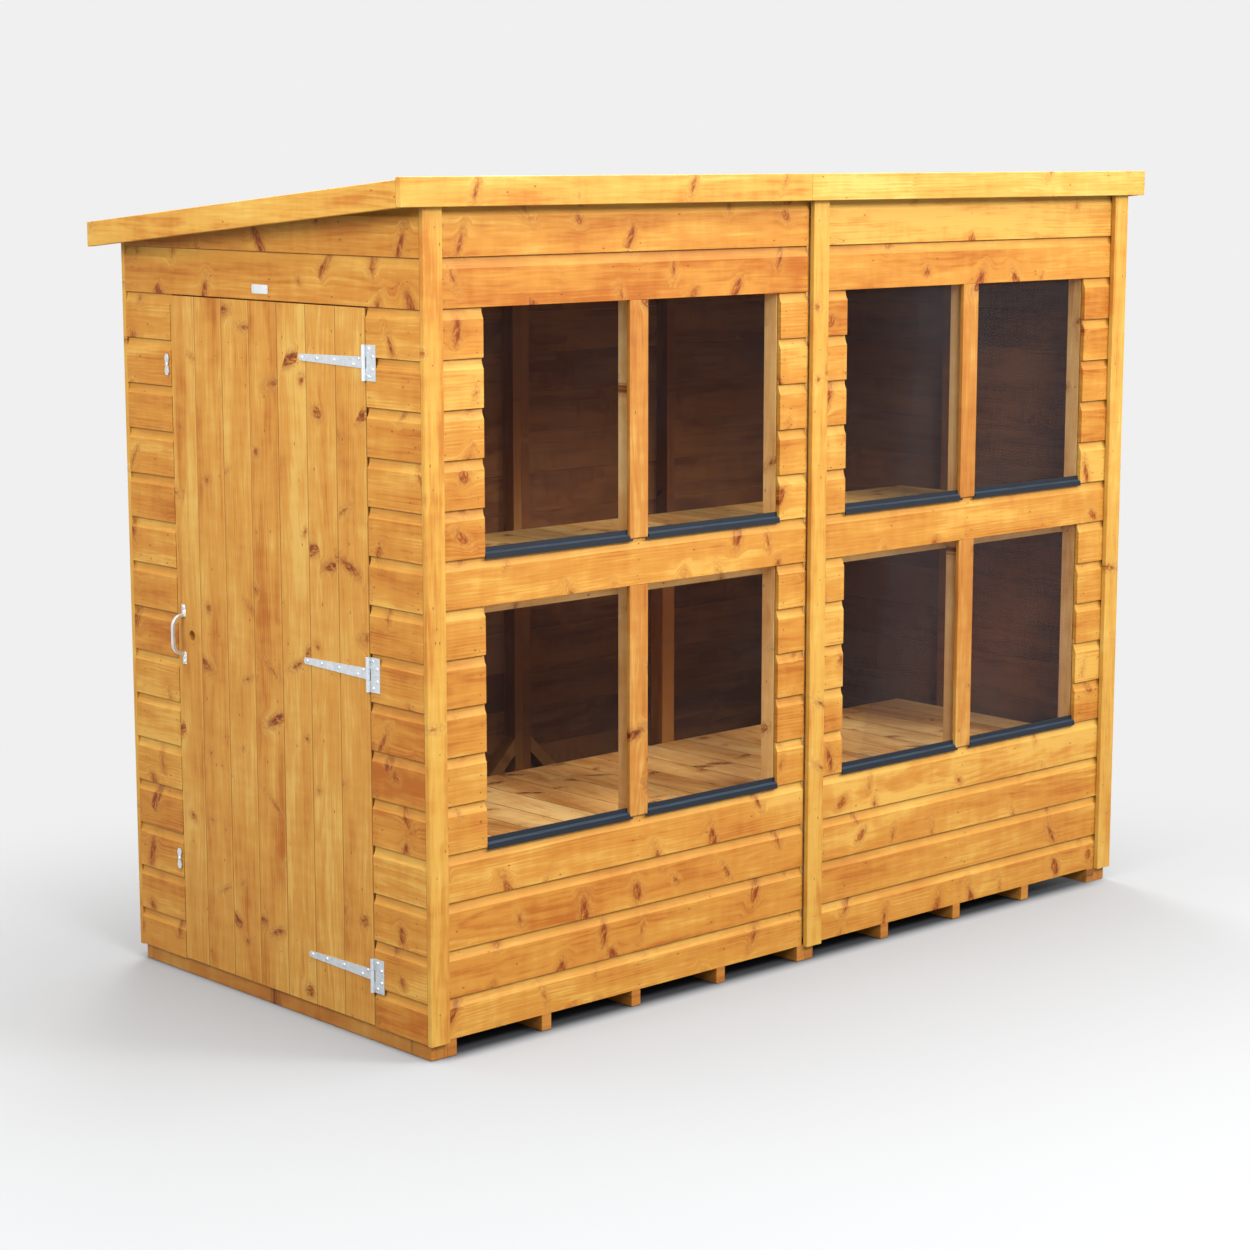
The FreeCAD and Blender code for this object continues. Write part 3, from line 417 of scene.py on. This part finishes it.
def clear_glazing(name):
    """Clear glazing sheet: a slight tint, ripples in its gloss, and faint smears."""
    glass = Shader(name)
    place = glass.place()
    smears = glass.noise(place, scale=5.0, detail=4.0, roughness=0.6)
    ripple = glass.noise(place, scale=3.2, detail=1.0)
    base = glass.blend(smears, colour(30, 30, 34), colour(52, 50, 52))
    gloss = glass.result("LayerWeight", {"Blend": 0.25}, output="Fresnel")
    solid = gloss * 0.3 + (smears.ease(0.4, 0.8) * 0.03 + 0.03)
    rough = smears.ease(0.3, 0.9, 0.02, 0.12)
    normal = glass.bump(ripple, distance=0.004, strength=0.12)
    return glass.surface(Base_Color=base, Alpha=solid, Roughness=rough, Normal=normal, IOR=1.5)


def painted_plate(name):
    """White coated plate: an even coat with slight orange peel and patches of grime."""
    coat = Shader(name)
    place = coat.place()
    peel = coat.noise(place, scale=900.0)
    grime = coat.noise(place, scale=60.0, detail=4.0, roughness=0.6)
    base = coat.blend(grime.ease(0.5, 0.8), colour(180, 182, 181), colour(152, 150, 143))
    normal = coat.bump(peel, distance=0.00008, strength=0.5)
    return coat.surface(Base_Color=base, Roughness=peel * 0.1 + 0.3, Normal=normal)


PITCH = BOARD_PITCH / MILLIMETRES
# The pale reach of the lap and the V joint is a painted highlight; their dark reach is stain with painted
# shade
LAP = Seam(axis=2, first=FIRST_COURSE / MILLIMETRES, pitch=PITCH,
           pale=(0.024, 0.0), dark=(0.0022, 0.0006), depth=0.9)
V_JOINT = Seam(axis=1, first=-0.38, pitch=PITCH,
               pale=(0.0045, 0.0045), dark=(0.002, 0.002), depth=0.5)
BENCH_SEAM = Seam(axis=0, first=0.712, pitch=PITCH,
                  pale=(0.0, 0.0), dark=(0.0022, 0.0022), depth=0.9)

CLADDING = pine("pine_cladding", rarity=0.36, seam=LAP, tones=tones_of(
    stain, pale=(251, 193, 88), middle=(231, 156, 57), deep=(202, 112, 25), knot=(150, 62, 4)))
TRIM = pine("pine_trim", rarity=0.68, tones=tones_of(
    stain, pale=(254, 212, 110), middle=(243, 184, 78), deep=(218, 136, 42), knot=(150, 70, 20)))
DOOR = pine("pine_door", rarity=0.4, seam=V_JOINT, tones=tones_of(
    stain, pale=(249, 198, 99), middle=(234, 165, 67), deep=(202, 114, 28), knot=(140, 62, 8)))
LEDGE = pine("pine_ledge", rarity=0.42, tones=tones_of(
    stain, pale=(249, 198, 99), middle=(234, 165, 67), deep=(202, 114, 28), knot=(132, 54, 10)))
FRAMING = pine("pine_framing", rarity=0.5, tones=tones_of(
    stain, pale=(206, 140, 66), middle=(178, 106, 40), deep=(142, 76, 24), knot=(82, 38, 12)))
POST = pine("pine_post", rarity=0.45, tones=tones_of(
    stain, pale=(238, 180, 88), middle=(218, 142, 56), deep=(182, 98, 26), knot=(112, 46, 10)))
# Painted light: the staging, bench rails and window reveals take screen colours without the stain share, so
# they are far paler than stained pine and look lit inside the dim shed; the reveals are a lit copy of the
# framing
STAGING_PAINTED_LIT = pine("pine_staging_painted_lit", rarity=0.4, seam=BENCH_SEAM, tones=tones_of(
    colour, pale=(246, 206, 132), middle=(230, 176, 100), deep=(196, 130, 58), knot=(112, 56, 20)))
RAIL_PAINTED_LIT = pine("pine_rail_painted_lit", rarity=0.45, tones=tones_of(
    colour, pale=(240, 200, 130), middle=(222, 170, 98), deep=(190, 126, 58), knot=(112, 56, 20)))
REVEAL_PAINTED_LIT = pine("pine_reveal_painted_lit", rarity=0.5, tones=tones_of(
    colour, pale=(244, 206, 142), middle=(228, 178, 108), deep=(198, 134, 64), knot=(122, 62, 24)))
ZINC = zinc("zinc_plate", bright=colour(222, 227, 230), dull=colour(186, 193, 198))
NAIL = zinc("nail_steel", bright=colour(104, 66, 36), dull=colour(58, 34, 18), metallic=0.3)
SLATE = slate_plastic("slate_plastic")
FELT = mineral_felt("mineral_felt")
GLAZING = clear_glazing("clear_glazing")
PLATE = painted_plate("coated_plate")


# Solids of the CAD model

WELDS_PER_METRE = 1e5
FLAT_ANGLE = 0.012


def wedges(points, triangles, ends, around):
    """The pairs of triangles that close the same solid along an edge where several solids meet."""
    low, high = (points[i] for i in ends)
    axis = (high - low).normalized()
    spread = []
    for i in around:
        out = next(points[k] for k in triangles[i] if k not in ends) - low
        spread.append(out - axis * out.dot(axis))
    first = spread[0].normalized()
    second = axis.cross(first)
    order = []
    for i, out in zip(around, spread):
        a, b, c = (points[k] for k in triangles[i])
        opens = (b - a).cross(c - a).dot(axis.cross(out)) < 0
        # The turn starts a little before the first triangle, clear of rounding
        turn = (math.atan2(out.dot(second), out.dot(first)) + 0.01) % (2 * math.pi)
        order.append((round(turn, 3), opens, i))
    order.sort()
    while order and not order[0][1]:
        order.append(order.pop(0))
        if all(not opens for _, opens, _ in order):
            return []
    return [(a[2], b[2]) for a, b in zip(order[::2], order[1::2])]


def welded(node):
    """The points of a CAD node, each only once, and the triangles between them."""
    source = frame["nodes"][node]
    mesh = source.data
    mesh.calc_loop_triangles()
    known = {}
    points = []
    index = []
    for vertex in mesh.vertices:
        point = source.matrix_world @ vertex.co
        key = tuple(round(c * WELDS_PER_METRE) for c in point)
        if key not in known:
            known[key] = len(points)
            points.append(point)
        index.append(known[key])
    triangles = [tuple(index[i] for i in t.vertices) for t in mesh.loop_triangles]
    return points, [t for t in triangles if len(set(t)) == 3]


def solids_of(node):
    """The points of a CAD node, and the triangles of each of its separate solids."""
    points, triangles = welded(node)
    edges = defaultdict(list)
    for i, (a, b, c) in enumerate(triangles):
        for ends in ((a, b), (b, c), (c, a)):
            edges[tuple(sorted(ends))].append(i)
    leader = list(range(len(triangles)))

    def lead(i):
        while leader[i] != i:
            leader[i] = leader[leader[i]]
            i = leader[i]
        return i

    for ends, around in edges.items():
        pairs = [around] if len(around) == 2 else wedges(points, triangles, ends, around)
        for i, j in pairs:
            leader[lead(i)] = lead(j)
    groups = defaultdict(list)
    for i, triangle in enumerate(triangles):
        groups[lead(i)].append(triangle)
    return points, list(groups.values())


def add_solid(bm, points, triangles):
    """Adds one solid to a mesh, and gives its new corners by the number of their point."""
    corners = {i: bm.verts.new(points[i]) for i in sorted({i for t in triangles for i in t})}
    for triangle in triangles:
        bm.faces.new([corners[i] for i in triangle])
    return corners


def merge_flat_faces(bm):
    """Joins triangles that lie in one plane, so that bevels run along real edges alone."""
    bm.normal_update()
    bmesh.ops.dissolve_limit(bm, angle_limit=FLAT_ANGLE, verts=bm.verts, edges=bm.edges)


def finish_piece(name, bm, material, body, nodes=(), bevel=0.0, segments=2, angle=35.0):
    """Puts a mesh in the scene as a piece on its body, with softened edges."""
    mesh = bpy.data.meshes.new(name)
    bm.to_mesh(mesh)
    bm.free()
    for polygon in mesh.polygons:
        polygon.use_smooth = True
    mesh.materials.append(material)
    piece = bpy.data.objects.new(name, mesh)
    bpy.context.scene.collection.objects.link(piece)
    if bevel:
        soft = piece.modifiers.new("edges", "BEVEL")
        soft.width = bevel
        soft.segments = segments
        soft.limit_method = "ANGLE"
        soft.angle_limit = math.radians(angle)
        soft.harden_normals = True
    else:
        mesh.set_sharp_from_angle(angle=math.radians(angle))
    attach(piece, body)
    if nodes:
        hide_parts(*nodes)


BODIES = frame["record"]["behaviour"]["bodies"]
BODY_OF = {node: body for body, nodes in BODIES.items() for node in nodes}


# Boards

BOARD_ANGLE = 22.0
NEAR_GRAIN = 0.8
GRAIN_FIELD = 40
FLAT_SAWN_SHARE = 0.6


def longest_edge(points, triangles):
    """The direction of a solid's longest edge."""
    edges = {(t[k], t[k - 1]) for t in triangles for k in range(3)}
    along = max((points[a] - points[b] for a, b in edges), key=lambda edge: round(edge.length, 5))
    return along.normalized()


def section_axes(places, along):
    """The directions across and through a board, which is wider across than through."""
    sides = [axis - along * axis.dot(along) for axis in AXES.values() if abs(axis.dot(along)) < NEAR_GRAIN]
    sides = [side.normalized() for side in sides]

    def extent(axis):
        reach = [place.dot(axis) for place in places]
        return max(reach) - min(reach)

    sides.sort(key=extent)
    return sides[-1], sides[0]


def board_look(chance, shade, spread):
    """Where a board's grain starts, and its tone with the place of the heart of the tree."""
    start_along = chance.uniform(-GRAIN_FIELD, GRAIN_FIELD)
    start_across = chance.uniform(-GRAIN_FIELD, GRAIN_FIELD)
    start = Vector((start_along, start_across, 0.0))
    flat_sawn = chance.random() < FLAT_SAWN_SHARE
    heart_across = chance.uniform(-0.05, 0.05) if flat_sawn else chance.choice((-1, 1)) * 0.11
    tone = chance.gauss(shade, spread)
    heart_deep = chance.uniform(0.03, 0.07) if flat_sawn else chance.uniform(0.0, 0.03)
    return start, Vector((tone, heart_across + start.y, heart_deep))


def timber(node, material, grain=None, bevel=0.0012, spread=0.16, shade=0.0, outward=(0, 0, 0)):
    """Stands for a CAD node of boards: each board a closed shape with its own grain and tone.

    The grain runs along the named axis, or along the longest edge of each board. A planed face looks
    outward, and its back is rough sawn. The tones of the boards spread round a shade.
    """
    points, solids = solids_of(node)
    chance = random.Random(node)
    bm = bmesh.new()
    grain_layer = bm.verts.layers.float_vector.new("grain")
    board_layer = bm.verts.layers.float_vector.new("board")
    outward_layer = bm.verts.layers.float_vector.new("outward")
    for triangles in solids:
        corners = add_solid(bm, points, triangles)
        places = [points[i] for i in corners]
        along = AXES[grain] if grain else longest_edge(points, triangles)
        across, through = section_axes(places, along)
        middle = sum(places, Vector()) / len(places)
        start, look = board_look(chance, shade, spread)
        for i, corner in corners.items():
            offset = points[i] - middle
            grain_place = Vector((offset.dot(along), offset.dot(across), offset.dot(through)))
            corner[grain_layer] = grain_place + start
            corner[board_layer] = look
            corner[outward_layer] = outward
    merge_flat_faces(bm)
    finish_piece(f"{node}_look", bm, material, BODY_OF[node], [node], bevel, angle=BOARD_ANGLE)


CLADDING_EDGE = 0.0008
TRIM_EDGE = 0.002
DOOR_EDGE = 0.0006

for side in ("left", "right"):
    timber(f"front_boards_{side}", CLADDING, "x", CLADDING_EDGE, outward=FRONT)
    timber(f"back_boards_{side}", CLADDING, "x", CLADDING_EDGE, outward=BACK)
    timber(f"mullions_{side}", POST, "z", TRIM_EDGE, spread=0.08)
    timber(f"front_fascia_{side}", TRIM, "x", TRIM_EDGE, spread=0.08)
    timber(f"side_fascia_{side}", TRIM, "y", TRIM_EDGE, spread=0.08)
    timber(f"front_frame_{side}", REVEAL_PAINTED_LIT)
    timber(f"back_frame_{side}", FRAMING)
    timber(f"floor_boards_{side}", FRAMING)
    timber(f"roof_boards_{side}", FRAMING, outward=UP)
for wall in ("front", "back"):
    for side in ("left", "joint", "right"):
        timber(f"{wall}_strip_{side}", TRIM, "z", TRIM_EDGE, spread=0.06, shade=0.14)
timber("door_wall_boards", CLADDING, "y", CLADDING_EDGE, outward=LEFT)
timber("end_wall_boards", CLADDING, "y", CLADDING_EDGE, outward=RIGHT)
for node in ("door_wall_frame", "end_wall_frame", "roof_battens"):
    timber(node, FRAMING)
for node in ("floor_bearers", "end_bearers"):
    timber(node, POST)
for node in ("bench_boards", "shelf_boards"):
    timber(node, STAGING_PAINTED_LIT)
timber("bench_rails", RAIL_PAINTED_LIT)
timber("bench_posts", POST)
timber("door_boards", DOOR, "z", DOOR_EDGE, spread=0.13, shade=-0.05, outward=LEFT)
timber("door_ledges", LEDGE, "y")
timber("door_braces", LEDGE)


# Glass, sills, felt and hardware


def hardware(node, material, bevel, segments=2, angle=35.0):
    """Stands for a CAD node of metal, plastic, glass or felt, welded, with softened edges."""
    points, solids = solids_of(node)
    bm = bmesh.new()
    for triangles in solids:
        add_solid(bm, points, triangles)
    merge_flat_faces(bm)
    finish_piece(f"{node}_look", bm, material, BODY_OF[node], [node], bevel, segments, angle)


for side in ("left", "right"):
    hardware(f"window_sills_{side}", SLATE, bevel=0.0008)
    hardware(f"window_panes_{side}", GLAZING, bevel=0.0003)
hardware("roof_felt", FELT, bevel=0.001)
hardware("pull_handle", ZINC, bevel=0.0022, segments=3, angle=50.0)
for level in ("top", "middle", "bottom"):
    hardware(f"hinge_strap_{level}", ZINC, bevel=0.0005)
    hardware(f"hinge_plate_{level}", ZINC, bevel=0.0005)
for level in ("top", "bottom"):
    hardware(f"turn_button_{level}", ZINC, bevel=0.0003)


# Fixings: profiles are rings of (radius, height) in metres, places are in millimetres

NAIL_HEAD = [(0.0016, -0.0006), (0.0016, 0.00005), (0.0013, 0.0002), (0.0007, 0.00012)]
CLOUT_HEAD = [(0.0042, -0.0008), (0.0042, 0.0004), (0.0036, 0.0009), (0.0015, 0.0011)]
HEAD_CORNERS = 16
CROSS_POINTS = 4


def screw_profile(radius, height):
    """A domed head with a cross recess."""
    return [
        (radius, -0.0004),
        (radius, height * 0.3),
        (radius * 0.93, height * 0.62),
        (radius * 0.74, height * 0.92),
        ((radius * 0.6, radius * 0.5), height),
        ((radius * 0.56, radius * 0.2), height * 0.97),
        ((radius * 0.36, radius * 0.12), height * 0.35),
    ]


def close_rings(bm, rings):
    """The faces between rings of corners, and over both ends."""
    for low, high in zip(rings, rings[1:]):
        for k in range(len(low)):
            bm.faces.new((low[k - 1], low[k], high[k], high[k - 1]))
    bm.faces.new(rings[-1])
    bm.faces.new(rings[0][::-1])


def turned(bm, centre, out, profile):
    """A small turned shape: rings round a centre, out along the given direction.

    A ring's radius may be a pair, the first of them at the points of a cross recess.
    """
    side = out.orthogonal().normalized()
    other = out.cross(side)
    rings = []
    for radius, height in profile:
        ring = []
        for k in range(HEAD_CORNERS):
            turn = 2 * math.pi * k / HEAD_CORNERS
            reach = radius
            if isinstance(radius, tuple):
                reach = radius[0] if k % (HEAD_CORNERS // CROSS_POINTS) == 0 else radius[1]
            point = centre + out * height + (side * math.cos(turn) + other * math.sin(turn)) * reach
            ring.append(bm.verts.new(point))
        rings.append(ring)
    close_rings(bm, rings)


def fixings(name, places, profile, material, body, nodes=()):
    """One piece of many like fixings on a body, each a (point, direction) pair."""
    bm = bmesh.new()
    for centre, out in places:
        turned(bm, centre, out, profile)
    finish_piece(name, bm, material, body, nodes)


FIXING_SEED = 7
fixing_chance = random.Random(FIXING_SEED)


def jitter(reach):
    """A random shift, up to a reach either way."""
    return fixing_chance.uniform(-reach, reach)


# The way that each face looks, and how far back from the front or along it the face lies
FACES = {
    "front": (FRONT, 14),
    "strips": (FRONT, 0),
    "back": (BACK, 1136),
    "door": (LEFT, 0),
    "end": (RIGHT, 2384),
}


def nailed(face, across, levels, drift, rise=6):
    """Nails up a face at one place across it, none of them quite in line."""
    out, depth = FACES[face]
    row = []
    for level in levels:
        beside = across + jitter(drift)
        height = level + jitter(rise)
        row.append((at(beside, depth, height) if out.y else at(depth, beside, height), out))
    return row


COURSE_NAILS = (16, 62)
COURSE_FLAT = 70
LOWEST_NAILED = 38.0


def course_levels(top, skip=()):
    """Two nail heights in each whole course below the top, both on the flat of the board."""
    levels = []
    n = 0
    while FIRST_COURSE + n * BOARD_PITCH + COURSE_FLAT < top:
        base = max(FIRST_COURSE + n * BOARD_PITCH, LOWEST_NAILED)
        if not any(low <= n <= high for low, high in skip):
            levels += [base + rise for rise in COURSE_NAILS]
        n += 1
    return levels


FRONT_STUDS = (63, 1172, 631, 1250, 2320, 1773)
WINDOW_FLANKS = (160, 1102, 1303, 2243)
WINDOW_MIDDLES = (631, 1773)
WINDOW_EDGES = (440, 1010, 1090, 1658)
BACK_STUDS = (40, 600, 1172, 1215, 1730, 2340)
DOOR_WALL_STUDS = (50, 190, 962, 1100)
END_WALL_STUDS = (60, 400, 745, 1095)
FRONT_TOP = 1870
FLANK_TOP = 1660
BACK_TOP = 1770
SIDE_TOP = 1880
DOORWAY = (120, 1000)
DOORWAY_TOP = 1700
# Courses, counted from the lowest, that the windows break, and those that run past them whole
WINDOW_COURSES = ((4, 8), (10, 14))
WHOLE_COURSES = ((0, 3), (9, 9), (15, 17))

nails = []
for x in FRONT_STUDS:
    skip = WINDOW_COURSES if x in WINDOW_MIDDLES else ()
    nails += nailed("front", x, course_levels(FRONT_TOP, skip), drift=5)
for x in WINDOW_FLANKS:
    nails += nailed("front", x, course_levels(FLANK_TOP, WHOLE_COURSES), drift=4)
for x in WINDOW_MIDDLES:
    nails += nailed("front", x, WINDOW_EDGES, drift=6, rise=3)
for x in BACK_STUDS:
    nails += nailed("back", x, course_levels(BACK_TOP), drift=6)
for y in DOOR_WALL_STUDS:
    levels = course_levels(SIDE_TOP - y * ROOF_SLOPE)
    if DOORWAY[0] < y < DOORWAY[1]:
        levels = [z for z in levels if z <= DOORWAY_TOP]
    nails += nailed("door", y, levels, drift=5)
for y in END_WALL_STUDS:
    nails += nailed("end", y, course_levels(SIDE_TOP - y * ROOF_SLOPE), drift=5)
fixings("cladding_nails", nails, NAIL_HEAD, NAIL, "shed")

STRIP_MIDDLES = (26, 1210, 2357)
STRIP_LEVELS = range(120, 2080, 280)
trim_nails = []
for x in STRIP_MIDDLES:
    trim_nails += nailed("strips", x, STRIP_LEVELS, drift=9, rise=25)
fixings("trim_nails", trim_nails, NAIL_HEAD, NAIL, "shed")

LEDGE_LEVELS = (158.0, 840.75, 1523.5)
DOOR_BOARDS = 7
DOOR_HINGE_EDGE = 203.5
DOOR_LAST_NAIL = 930
NAIL_SHARES = (0.27, 0.73)
NAIL_STAGGER = 60
door_nails = []
for z in LEDGE_LEVELS:
    for board in range(DOOR_BOARDS):
        for share in NAIL_SHARES:
            y = DOOR_HINGE_EDGE + BOARD_PITCH * (board + share)
            if y < DOOR_LAST_NAIL:
                door_nails += nailed("door", y, [z + (share - 0.5) * NAIL_STAGGER], drift=7, rise=9)
fixings("door_nails", door_nails, NAIL_HEAD, NAIL, "door")

# Screws, each by its place across the door wall and its rise from the middle of its hinge or handle
STRAP_SCREWS = ((224, 6.5), (244, -6.0), (312, 0), (376, 0), (430, 0))
PLATE_SCREWS = ((188, -30), (174, -14), (174, 14), (188, 30))
HANDLE_SCREWS = ((921.5, -65), (921.5, -53), (921.5, 53), (921.5, 65))
HANDLE_LEVEL = 840.75
HINGE_FACE = -2
HANDLE_FACE = -2.5
SCREW = screw_profile(radius=0.0042, height=0.0017)
door_screws = []
plate_screws = []
for z in LEDGE_LEVELS:
    door_screws += [(at(HINGE_FACE, y, z + rise), LEFT) for y, rise in STRAP_SCREWS]
    plate_screws += [(at(HINGE_FACE, y, z + rise), LEFT) for y, rise in PLATE_SCREWS]
door_screws += [(at(HANDLE_FACE, y, HANDLE_LEVEL + rise), LEFT) for y, rise in HANDLE_SCREWS]
fixings("door_screws", door_screws, SCREW, ZINC, "door")
fixings("hinge_plate_screws", plate_screws, SCREW, ZINC, "shed")

# A turn button's pivot is a shank with a screw head, which stands clear of the button
PIVOT_SHANK = [(0.0025, -0.001), (0.0025, 0.0041)]
PIVOT_HEAD_LIFT = 0.0045
PIVOT_HEAD = screw_profile(radius=0.005, height=0.0014)
PIVOT = PIVOT_SHANK + [(radius, height + PIVOT_HEAD_LIFT) for radius, height in PIVOT_HEAD]
BUTTON_ACROSS = 962.5
BUTTON_LEVELS = (1478.5, 286.0)
pivots = [(at(0, BUTTON_ACROSS, z), LEFT) for z in BUTTON_LEVELS]
fixings("turn_button_screws", pivots, PIVOT, ZINC, "shed", ["turn_button_pivots"])


# Felt: the lap between its two lengths, and the clout nails that hold it, in metres

FELT_LAP = 0.04
LAP_STEP = 0.06
LAP_MARGIN = 0.002
LAP_EDGE_LIFT = 0.0018
LAP_NAIL_LIFT = 0.0016
CLEAR_OF_LAP = 0.06
FELT_NAIL_STEP = 0.15
NAIL_MARGIN = 0.03
SIDE_MARGIN = 0.025
SIDE_NAILS_FROM = 0.17
felt_points, _ = solids_of("roof_felt")
felt_low = Vector([min(p[k] for p in felt_points) for k in range(3)])
felt_high = Vector([max(p[k] for p in felt_points) for k in range(3)])
crest = max(felt_points, key=lambda p: p.z)
UP_ROOF = Vector((0.0, ROOF_SLOPE, 1.0)).normalized()


def on_felt(x, y, lift=0.0):
    """A point on the top of the felt, lifted square to it."""
    return Vector((x, y, crest.z - (y - crest.y) * ROOF_SLOPE)) + UP_ROOF * lift


def steps(low, high, step):
    """Even places between two ends, about a step apart."""
    count = max(1, round((high - low) / step))
    return [low + (high - low) * k / count for k in range(count + 1)]


bm = bmesh.new()
lap_rings = []
for x in steps(felt_low.x + LAP_MARGIN, felt_high.x - LAP_MARGIN, LAP_STEP):
    edge = FELT_LAP + jitter(0.0012)
    edge_lift = LAP_EDGE_LIFT + jitter(0.0003)
    section = ((0.0, -0.0004), (0.0, edge_lift), (0.0015, 0.0024), (0.03, 0.0017), (0.085, 0.0002),
               (0.085, -0.0004))
    lap_rings.append([bm.verts.new(on_felt(x, edge - back, lift)) for back, lift in section])
close_rings(bm, lap_rings)
finish_piece("felt_lap", bm, FELT, "shed", angle=50.0)

# The rows of nails along the felt's front edge, its lap and its back edge, and how far each is lifted
NAIL_ROWS = (
    (felt_low.y + NAIL_MARGIN, 0.0),
    (FELT_LAP - NAIL_MARGIN, LAP_NAIL_LIFT),
    (felt_high.y - NAIL_MARGIN, 0.0),
)
clouts = []
for x in steps(felt_low.x + NAIL_MARGIN, felt_high.x - NAIL_MARGIN, FELT_NAIL_STEP):
    for y, lift in NAIL_ROWS:
        clouts.append((on_felt(x + jitter(0.008), y + jitter(0.004), lift), UP_ROOF))
for y in steps(felt_low.y + SIDE_NAILS_FROM, felt_high.y - SIDE_NAILS_FROM, FELT_NAIL_STEP):
    for x in (felt_low.x + SIDE_MARGIN, felt_high.x - SIDE_MARGIN):
        if abs(y - FELT_LAP) > CLEAR_OF_LAP:
            clouts.append((on_felt(x + jitter(0.004), y + jitter(0.01)), UP_ROOF))
fixings("felt_nails", clouts, CLOUT_HEAD, ZINC, "shed")


# The bare plate over the door

PLATE_MIDDLE = 585.5
PLATE_LEVEL = 1667.5
PLATE_BACK = -0.2
PLATE_FACE = -1.6
PLATE_PINS = (560, 611)
PLATE_CORNERS = 24


def rounded_plate(bm, centre, width, height, thick, corner):
    """A thin plate on the door wall with round corners and a softened face edge, in metres."""
    edge = ((0.0, 0.0), (0.0, thick * 0.6), (thick * 0.15, thick * 0.88), (thick * 0.45, thick))
    rings = []
    for inset, lift in edge:
        ring = []
        for k in range(PLATE_CORNERS):
            turn = 2 * math.pi * (k + 0.5) / PLATE_CORNERS
            y = math.copysign(width / 2 - corner, math.cos(turn)) + math.cos(turn) * (corner - inset)
            z = math.copysign(height / 2 - corner, math.sin(turn)) + math.sin(turn) * (corner - inset)
            ring.append(bm.verts.new(centre + Vector((-lift, y, z))))
        rings.append(ring[::-1])
    close_rings(bm, rings)


bm = bmesh.new()
plate_centre = at(PLATE_BACK, PLATE_MIDDLE, PLATE_LEVEL)
rounded_plate(bm, plate_centre, width=0.061, height=0.021, thick=0.0014, corner=0.004)
finish_piece("blank_plate", bm, PLATE, "shed")
plate_pins = [(at(PLATE_FACE, y, PLATE_LEVEL), LEFT) for y in PLATE_PINS]
fixings("blank_plate_pins", plate_pins, NAIL_HEAD, ZINC, "shed")


# Floor, light and camera

PAPER = (0.87, 0.87, 0.87, 1.0)
FLOOR_PAINT = (0.28, 0.284, 0.288, 1.0)
FLOOR_SHADE = (0.05, 0.052, 0.056, 1.0)
FLOOR_PLACE = (-0.8, -1.3, -0.001)
FLOOR_MIDDLE = 1.8
FLOOR_EDGE = 3.4
FLOOR_RADIUS = 12.4
BACKDROP_SHARE = 0.998
# How far from the shed's middle the shade under it starts to go, and where it ends
SHADE_ALONG = (1.1, 1.2)
SHADE_ACROSS = (0.545, 0.615)
scene = bpy.context.scene


def pale_floor(name):
    """A pale floor that goes over into the backdrop, in deep shade under the shed."""
    ground = Shader(name)
    x, y, _ = ground.parts(ground.place())
    low, high = cad_box
    off_x = abs(x + FLOOR_PLACE[0] - (low[0] + high[0]) / 2)
    off_y = abs(y + FLOOR_PLACE[1] - (low[1] + high[1]) / 2)
    beneath = off_x.fade(*SHADE_ALONG) * off_y.fade(*SHADE_ACROSS)
    painted = ground.result("BsdfDiffuse", {"Color": ground.blend(beneath, FLOOR_PAINT, FLOOR_SHADE)})
    backdrop = ground.result("Emission", {"Color": PAPER})
    outer = ground.length(x, y).ease(FLOOR_MIDDLE, FLOOR_EDGE, 0.0, BACKDROP_SHARE)
    return ground.show(ground.result("MixShader", {0: outer, 1: painted, 2: backdrop}))


bm = bmesh.new()
bmesh.ops.create_circle(bm, cap_ends=True, segments=128, radius=FLOOR_RADIUS)
floor_mesh = bpy.data.meshes.new("floor")
bm.to_mesh(floor_mesh)
bm.free()
floor_mesh.materials.append(pale_floor("pale_floor"))
floor = bpy.data.objects.new("floor", floor_mesh)
floor.location = FLOOR_PLACE
scene.collection.objects.link(floor)

world = bpy.data.worlds.new("studio")
scene.world = world
world.use_nodes = True
background = world.node_tree.nodes["Background"]
background.inputs["Color"].default_value = PAPER
background.inputs["Strength"].default_value = 1.0


def softbox(name, place, aim, size, power):
    """A round soft light turned to its aim, with its size in metres and its power in watts."""
    light = bpy.data.lights.new(name, "AREA")
    light.shape = "DISK"
    light.size = size
    light.energy = power
    lamp = bpy.data.objects.new(name, light)
    lamp.location = place
    lamp.rotation_euler = (Vector(aim) - Vector(place)).to_track_quat("-Z", "Y").to_euler()
    scene.collection.objects.link(lamp)


softbox("overhead", place=(0.2, -0.6, 5.2), aim=(0.2, -0.6, 0.0), size=7.0, power=540)
softbox("front_left", place=(-1.8, -4.5, 3.7), aim=(0.0, -0.5, 0.8), size=1.8, power=195)
softbox("front_right", place=(2.2, -4.5, 3.7), aim=(0.0, -0.5, 0.8), size=1.8, power=235)
softbox("side", place=(-4.2, -0.6, 2.9), aim=(-1.18, 0.0, 1.3), size=1.8, power=120)
softbox("back", place=(2.6, 4.2, 3.9), aim=(0.3, 0.4, 0.7), size=2.4, power=240)

# The camera's place in metres, and how far its view is turned down and to the right, in degrees
CAMERA_PLACE = (-4.9391, -5.2894, 1.9743)
CAMERA_DOWN = 9.442
CAMERA_RIGHT = 42.645
camera = bpy.data.cameras.new("camera")
camera.sensor_width = 36.0
camera.lens = 82.17
camera_object = bpy.data.objects.new("camera", camera)
camera_object.location = CAMERA_PLACE
camera_object.rotation_euler = (math.radians(90 - CAMERA_DOWN), 0.0, math.radians(-CAMERA_RIGHT))
scene.collection.objects.link(camera_object)
scene.camera = camera_object
scene.view_settings.view_transform = "Standard"
